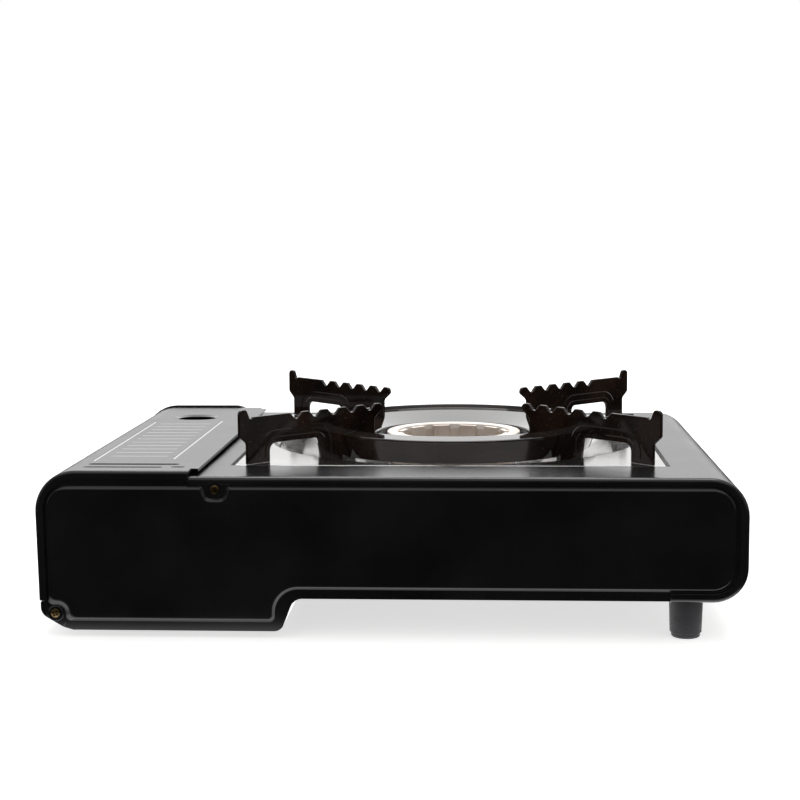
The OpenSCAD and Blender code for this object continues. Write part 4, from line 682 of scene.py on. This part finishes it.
# The view from behind and a little above the deck; place in metres, angles in radians
viewpoint = dict(place=(-0.04858, 0.88836, 0.20285), pitch=0.115505, yaw=0.056291, roll=-0.0060844, lens=72.828,
                 sensor=36, clip=(0.05, 50))
camera = bpy.data.objects.new("camera", bpy.data.cameras.new("camera"))
bpy.context.scene.collection.objects.link(camera)
camera.data.lens, camera.data.sensor_width = viewpoint["lens"], viewpoint["sensor"]
camera.data.clip_start, camera.data.clip_end = viewpoint["clip"]
turn = (Matrix.Rotation(math.pi + viewpoint["yaw"], 4, "Z") @ Matrix.Rotation(math.pi / 2 - viewpoint["pitch"], 4, "X")
        @ Matrix.Rotation(viewpoint["roll"], 4, "Z"))
camera.matrix_world = Matrix.Translation(viewpoint["place"]) @ turn
bpy.context.scene.camera = camera

# Plain soft light. The sky's spans are of a direction's Y, Z and |X|; each Seen is a brightness shown only in gloss
studio = dict(sky=0.62, darkSeen=0.04, skySeen=0.95, behind=(-0.6, -0.2), overhead=(0.5, 0.9), overheadSeen=1.25,
              beside=(0.6, 0.95), besideSeen=0.35, aim=(0, 0, 0.08),
              softboxes=dict(softboxTop=dict(place=(-0.08, -0.18, 1.2), size=(1.0, 0.5), watts=7.5),
                             softboxRear=dict(place=(0.0, -1.6, 0.86), size=(1.9, 0.7), watts=5.2)))
world = bpy.data.worlds.new("studio")
bpy.context.scene.world = world
world.use_nodes = True
sky = world.node_tree
sky.nodes.clear()
heading = addNode(sky, "ShaderNodeTexCoord")
toward = addNode(sky, "ShaderNodeSeparateXYZ", None, [(heading, "Generated")])
# Gloss shows white behind the object and overhead, grey beside it, and a dark room low down on the viewer's side
aside = addNode(sky, "ShaderNodeMath", {"operation": "ABSOLUTE"}, [(toward, "X")])
share = None
for source, span, shares in (((toward, "Y"), studio["behind"], (1.0, 0.0)),
                             ((toward, "Z"), studio["overhead"], (0.0, studio["overheadSeen"])),
                             ((aside, 0), studio["beside"], (0.0, studio["besideSeen"]))):
    fade = addNode(sky, "ShaderNodeMapRange", {"interpolation_type": "SMOOTHSTEP"}, [source, *span, *shares])
    share = fade if share is None else addNode(sky, "ShaderNodeMath", {"operation": "MAXIMUM"}, [(share, 0), (fade, 0)])
seen = addNode(sky, "ShaderNodeMapRange", None, {0: (share, 0), 3: studio["darkSeen"], 4: studio["skySeen"]})
rays = addNode(sky, "ShaderNodeLightPath")
gloss = addNode(sky, "ShaderNodeMath", {"operation": "MAXIMUM"},
                [(rays, "Is Glossy Ray"), (rays, "Is Transmission Ray")])
forShapes, forGloss, forCamera = (
    addNode(sky, "ShaderNodeBackground", None, {"Color": (1, 1, 1, 1), "Strength": strength})
    for strength in (studio["sky"], (seen, 0), 1.0))
unseen = addNode(sky, "ShaderNodeMixShader", None, [(gloss, 0), (forShapes, 0), (forGloss, 0)])
either = addNode(sky, "ShaderNodeMixShader", None, [(rays, "Is Camera Ray"), (unseen, 0), (forCamera, 0)])
addNode(sky, "ShaderNodeOutputWorld", None, [(either, 0)])


def softbox(name, place, size, watts):
    # A rectangular soft light at place, turned to the middle of the object
    data = bpy.data.lights.new(name, "AREA")
    data.shape, data.size, data.size_y, data.energy = "RECTANGLE", size[0], size[1], watts
    lamp = bpy.data.objects.new(name, data)
    bpy.context.scene.collection.objects.link(lamp)
    aim = (Vector(studio["aim"]) - Vector(place)).to_track_quat("-Z", "Y")
    lamp.matrix_world = Matrix.Translation(place) @ aim.to_matrix().to_4x4()


for name, settings in studio["softboxes"].items():
    softbox(name, **settings)

# Pale floor; fade: distances in metres from the object's footprint, over which its gloss turns from white to dark
stage = dict(half=6.0, color="#f4f4f2", dark="#202020", seen=0.62, nearSeen=2.2, fade=(-0.004, 0.035))
half = stage["half"]
floorMesh = bpy.data.meshes.new("floor")
floorMesh.from_pydata([(-half, -half, 0), (half, -half, 0), (half, half, 0), (-half, half, 0)], [], [(0, 1, 2, 3)])
ground = bpy.data.objects.new("floor", floorMesh)
bpy.context.scene.collection.objects.link(ground)
floorMaterial = bpy.data.materials.new("paleFloor")
floorMaterial.use_nodes = True
tree = floorMaterial.node_tree
tree.nodes.clear()
rays = addNode(tree, "ShaderNodeLightPath")
where = addNode(tree, "ShaderNodeNewGeometry")
apart = addNode(tree, "ShaderNodeSeparateXYZ", None, [(where, "Position")])
# Distance = the larger of |x| - half the width and y - the back face, so on the far side gloss stays white
outX = addNode(tree, "ShaderNodeMath", {"operation": "ABSOLUTE"}, [(apart, "X")])
outX = addNode(tree, "ShaderNodeMath", {"operation": "SUBTRACT"}, [(outX, 0), halfW * mm])
outY = addNode(tree, "ShaderNodeMath", {"operation": "SUBTRACT"}, [(apart, "Y"), shell["backY"] * mm])
distance = addNode(tree, "ShaderNodeMath", {"operation": "MAXIMUM"}, [(outX, 0), (outY, 0)])
far = addNode(tree, "ShaderNodeMapRange", {"interpolation_type": "SMOOTHSTEP"},
              [(distance, 0), *stage["fade"], 0.0, 1.0])
pale = addNode(tree, "ShaderNodeBsdfDiffuse", None, {"Color": srgb(stage["color"])})
dark = addNode(tree, "ShaderNodeBsdfDiffuse", None, {"Color": srgb(stage["dark"])})
lift, bright = (addNode(tree, "ShaderNodeEmission", None, {"Color": (1, 1, 1, 1), "Strength": strength})
                for strength in (stage["seen"], stage["nearSeen"]))
lifted = addNode(tree, "ShaderNodeAddShader", None, [(pale, 0), (lift, 0)])
inGloss = addNode(tree, "ShaderNodeMixShader", None, [(far, 0), (bright, 0), (dark, 0)])
unseen = addNode(tree, "ShaderNodeMixShader", None, [(rays, "Is Glossy Ray"), (pale, 0), (inGloss, 0)])
either = addNode(tree, "ShaderNodeMixShader", None, [(rays, "Is Camera Ray"), (unseen, 0), (lifted, 0)])
addNode(tree, "ShaderNodeOutputMaterial", None, [(either, 0)])
floorMesh.materials.append(floorMaterial)
bpy.context.scene.view_settings.view_transform = "Standard"
print("stage and camera set")
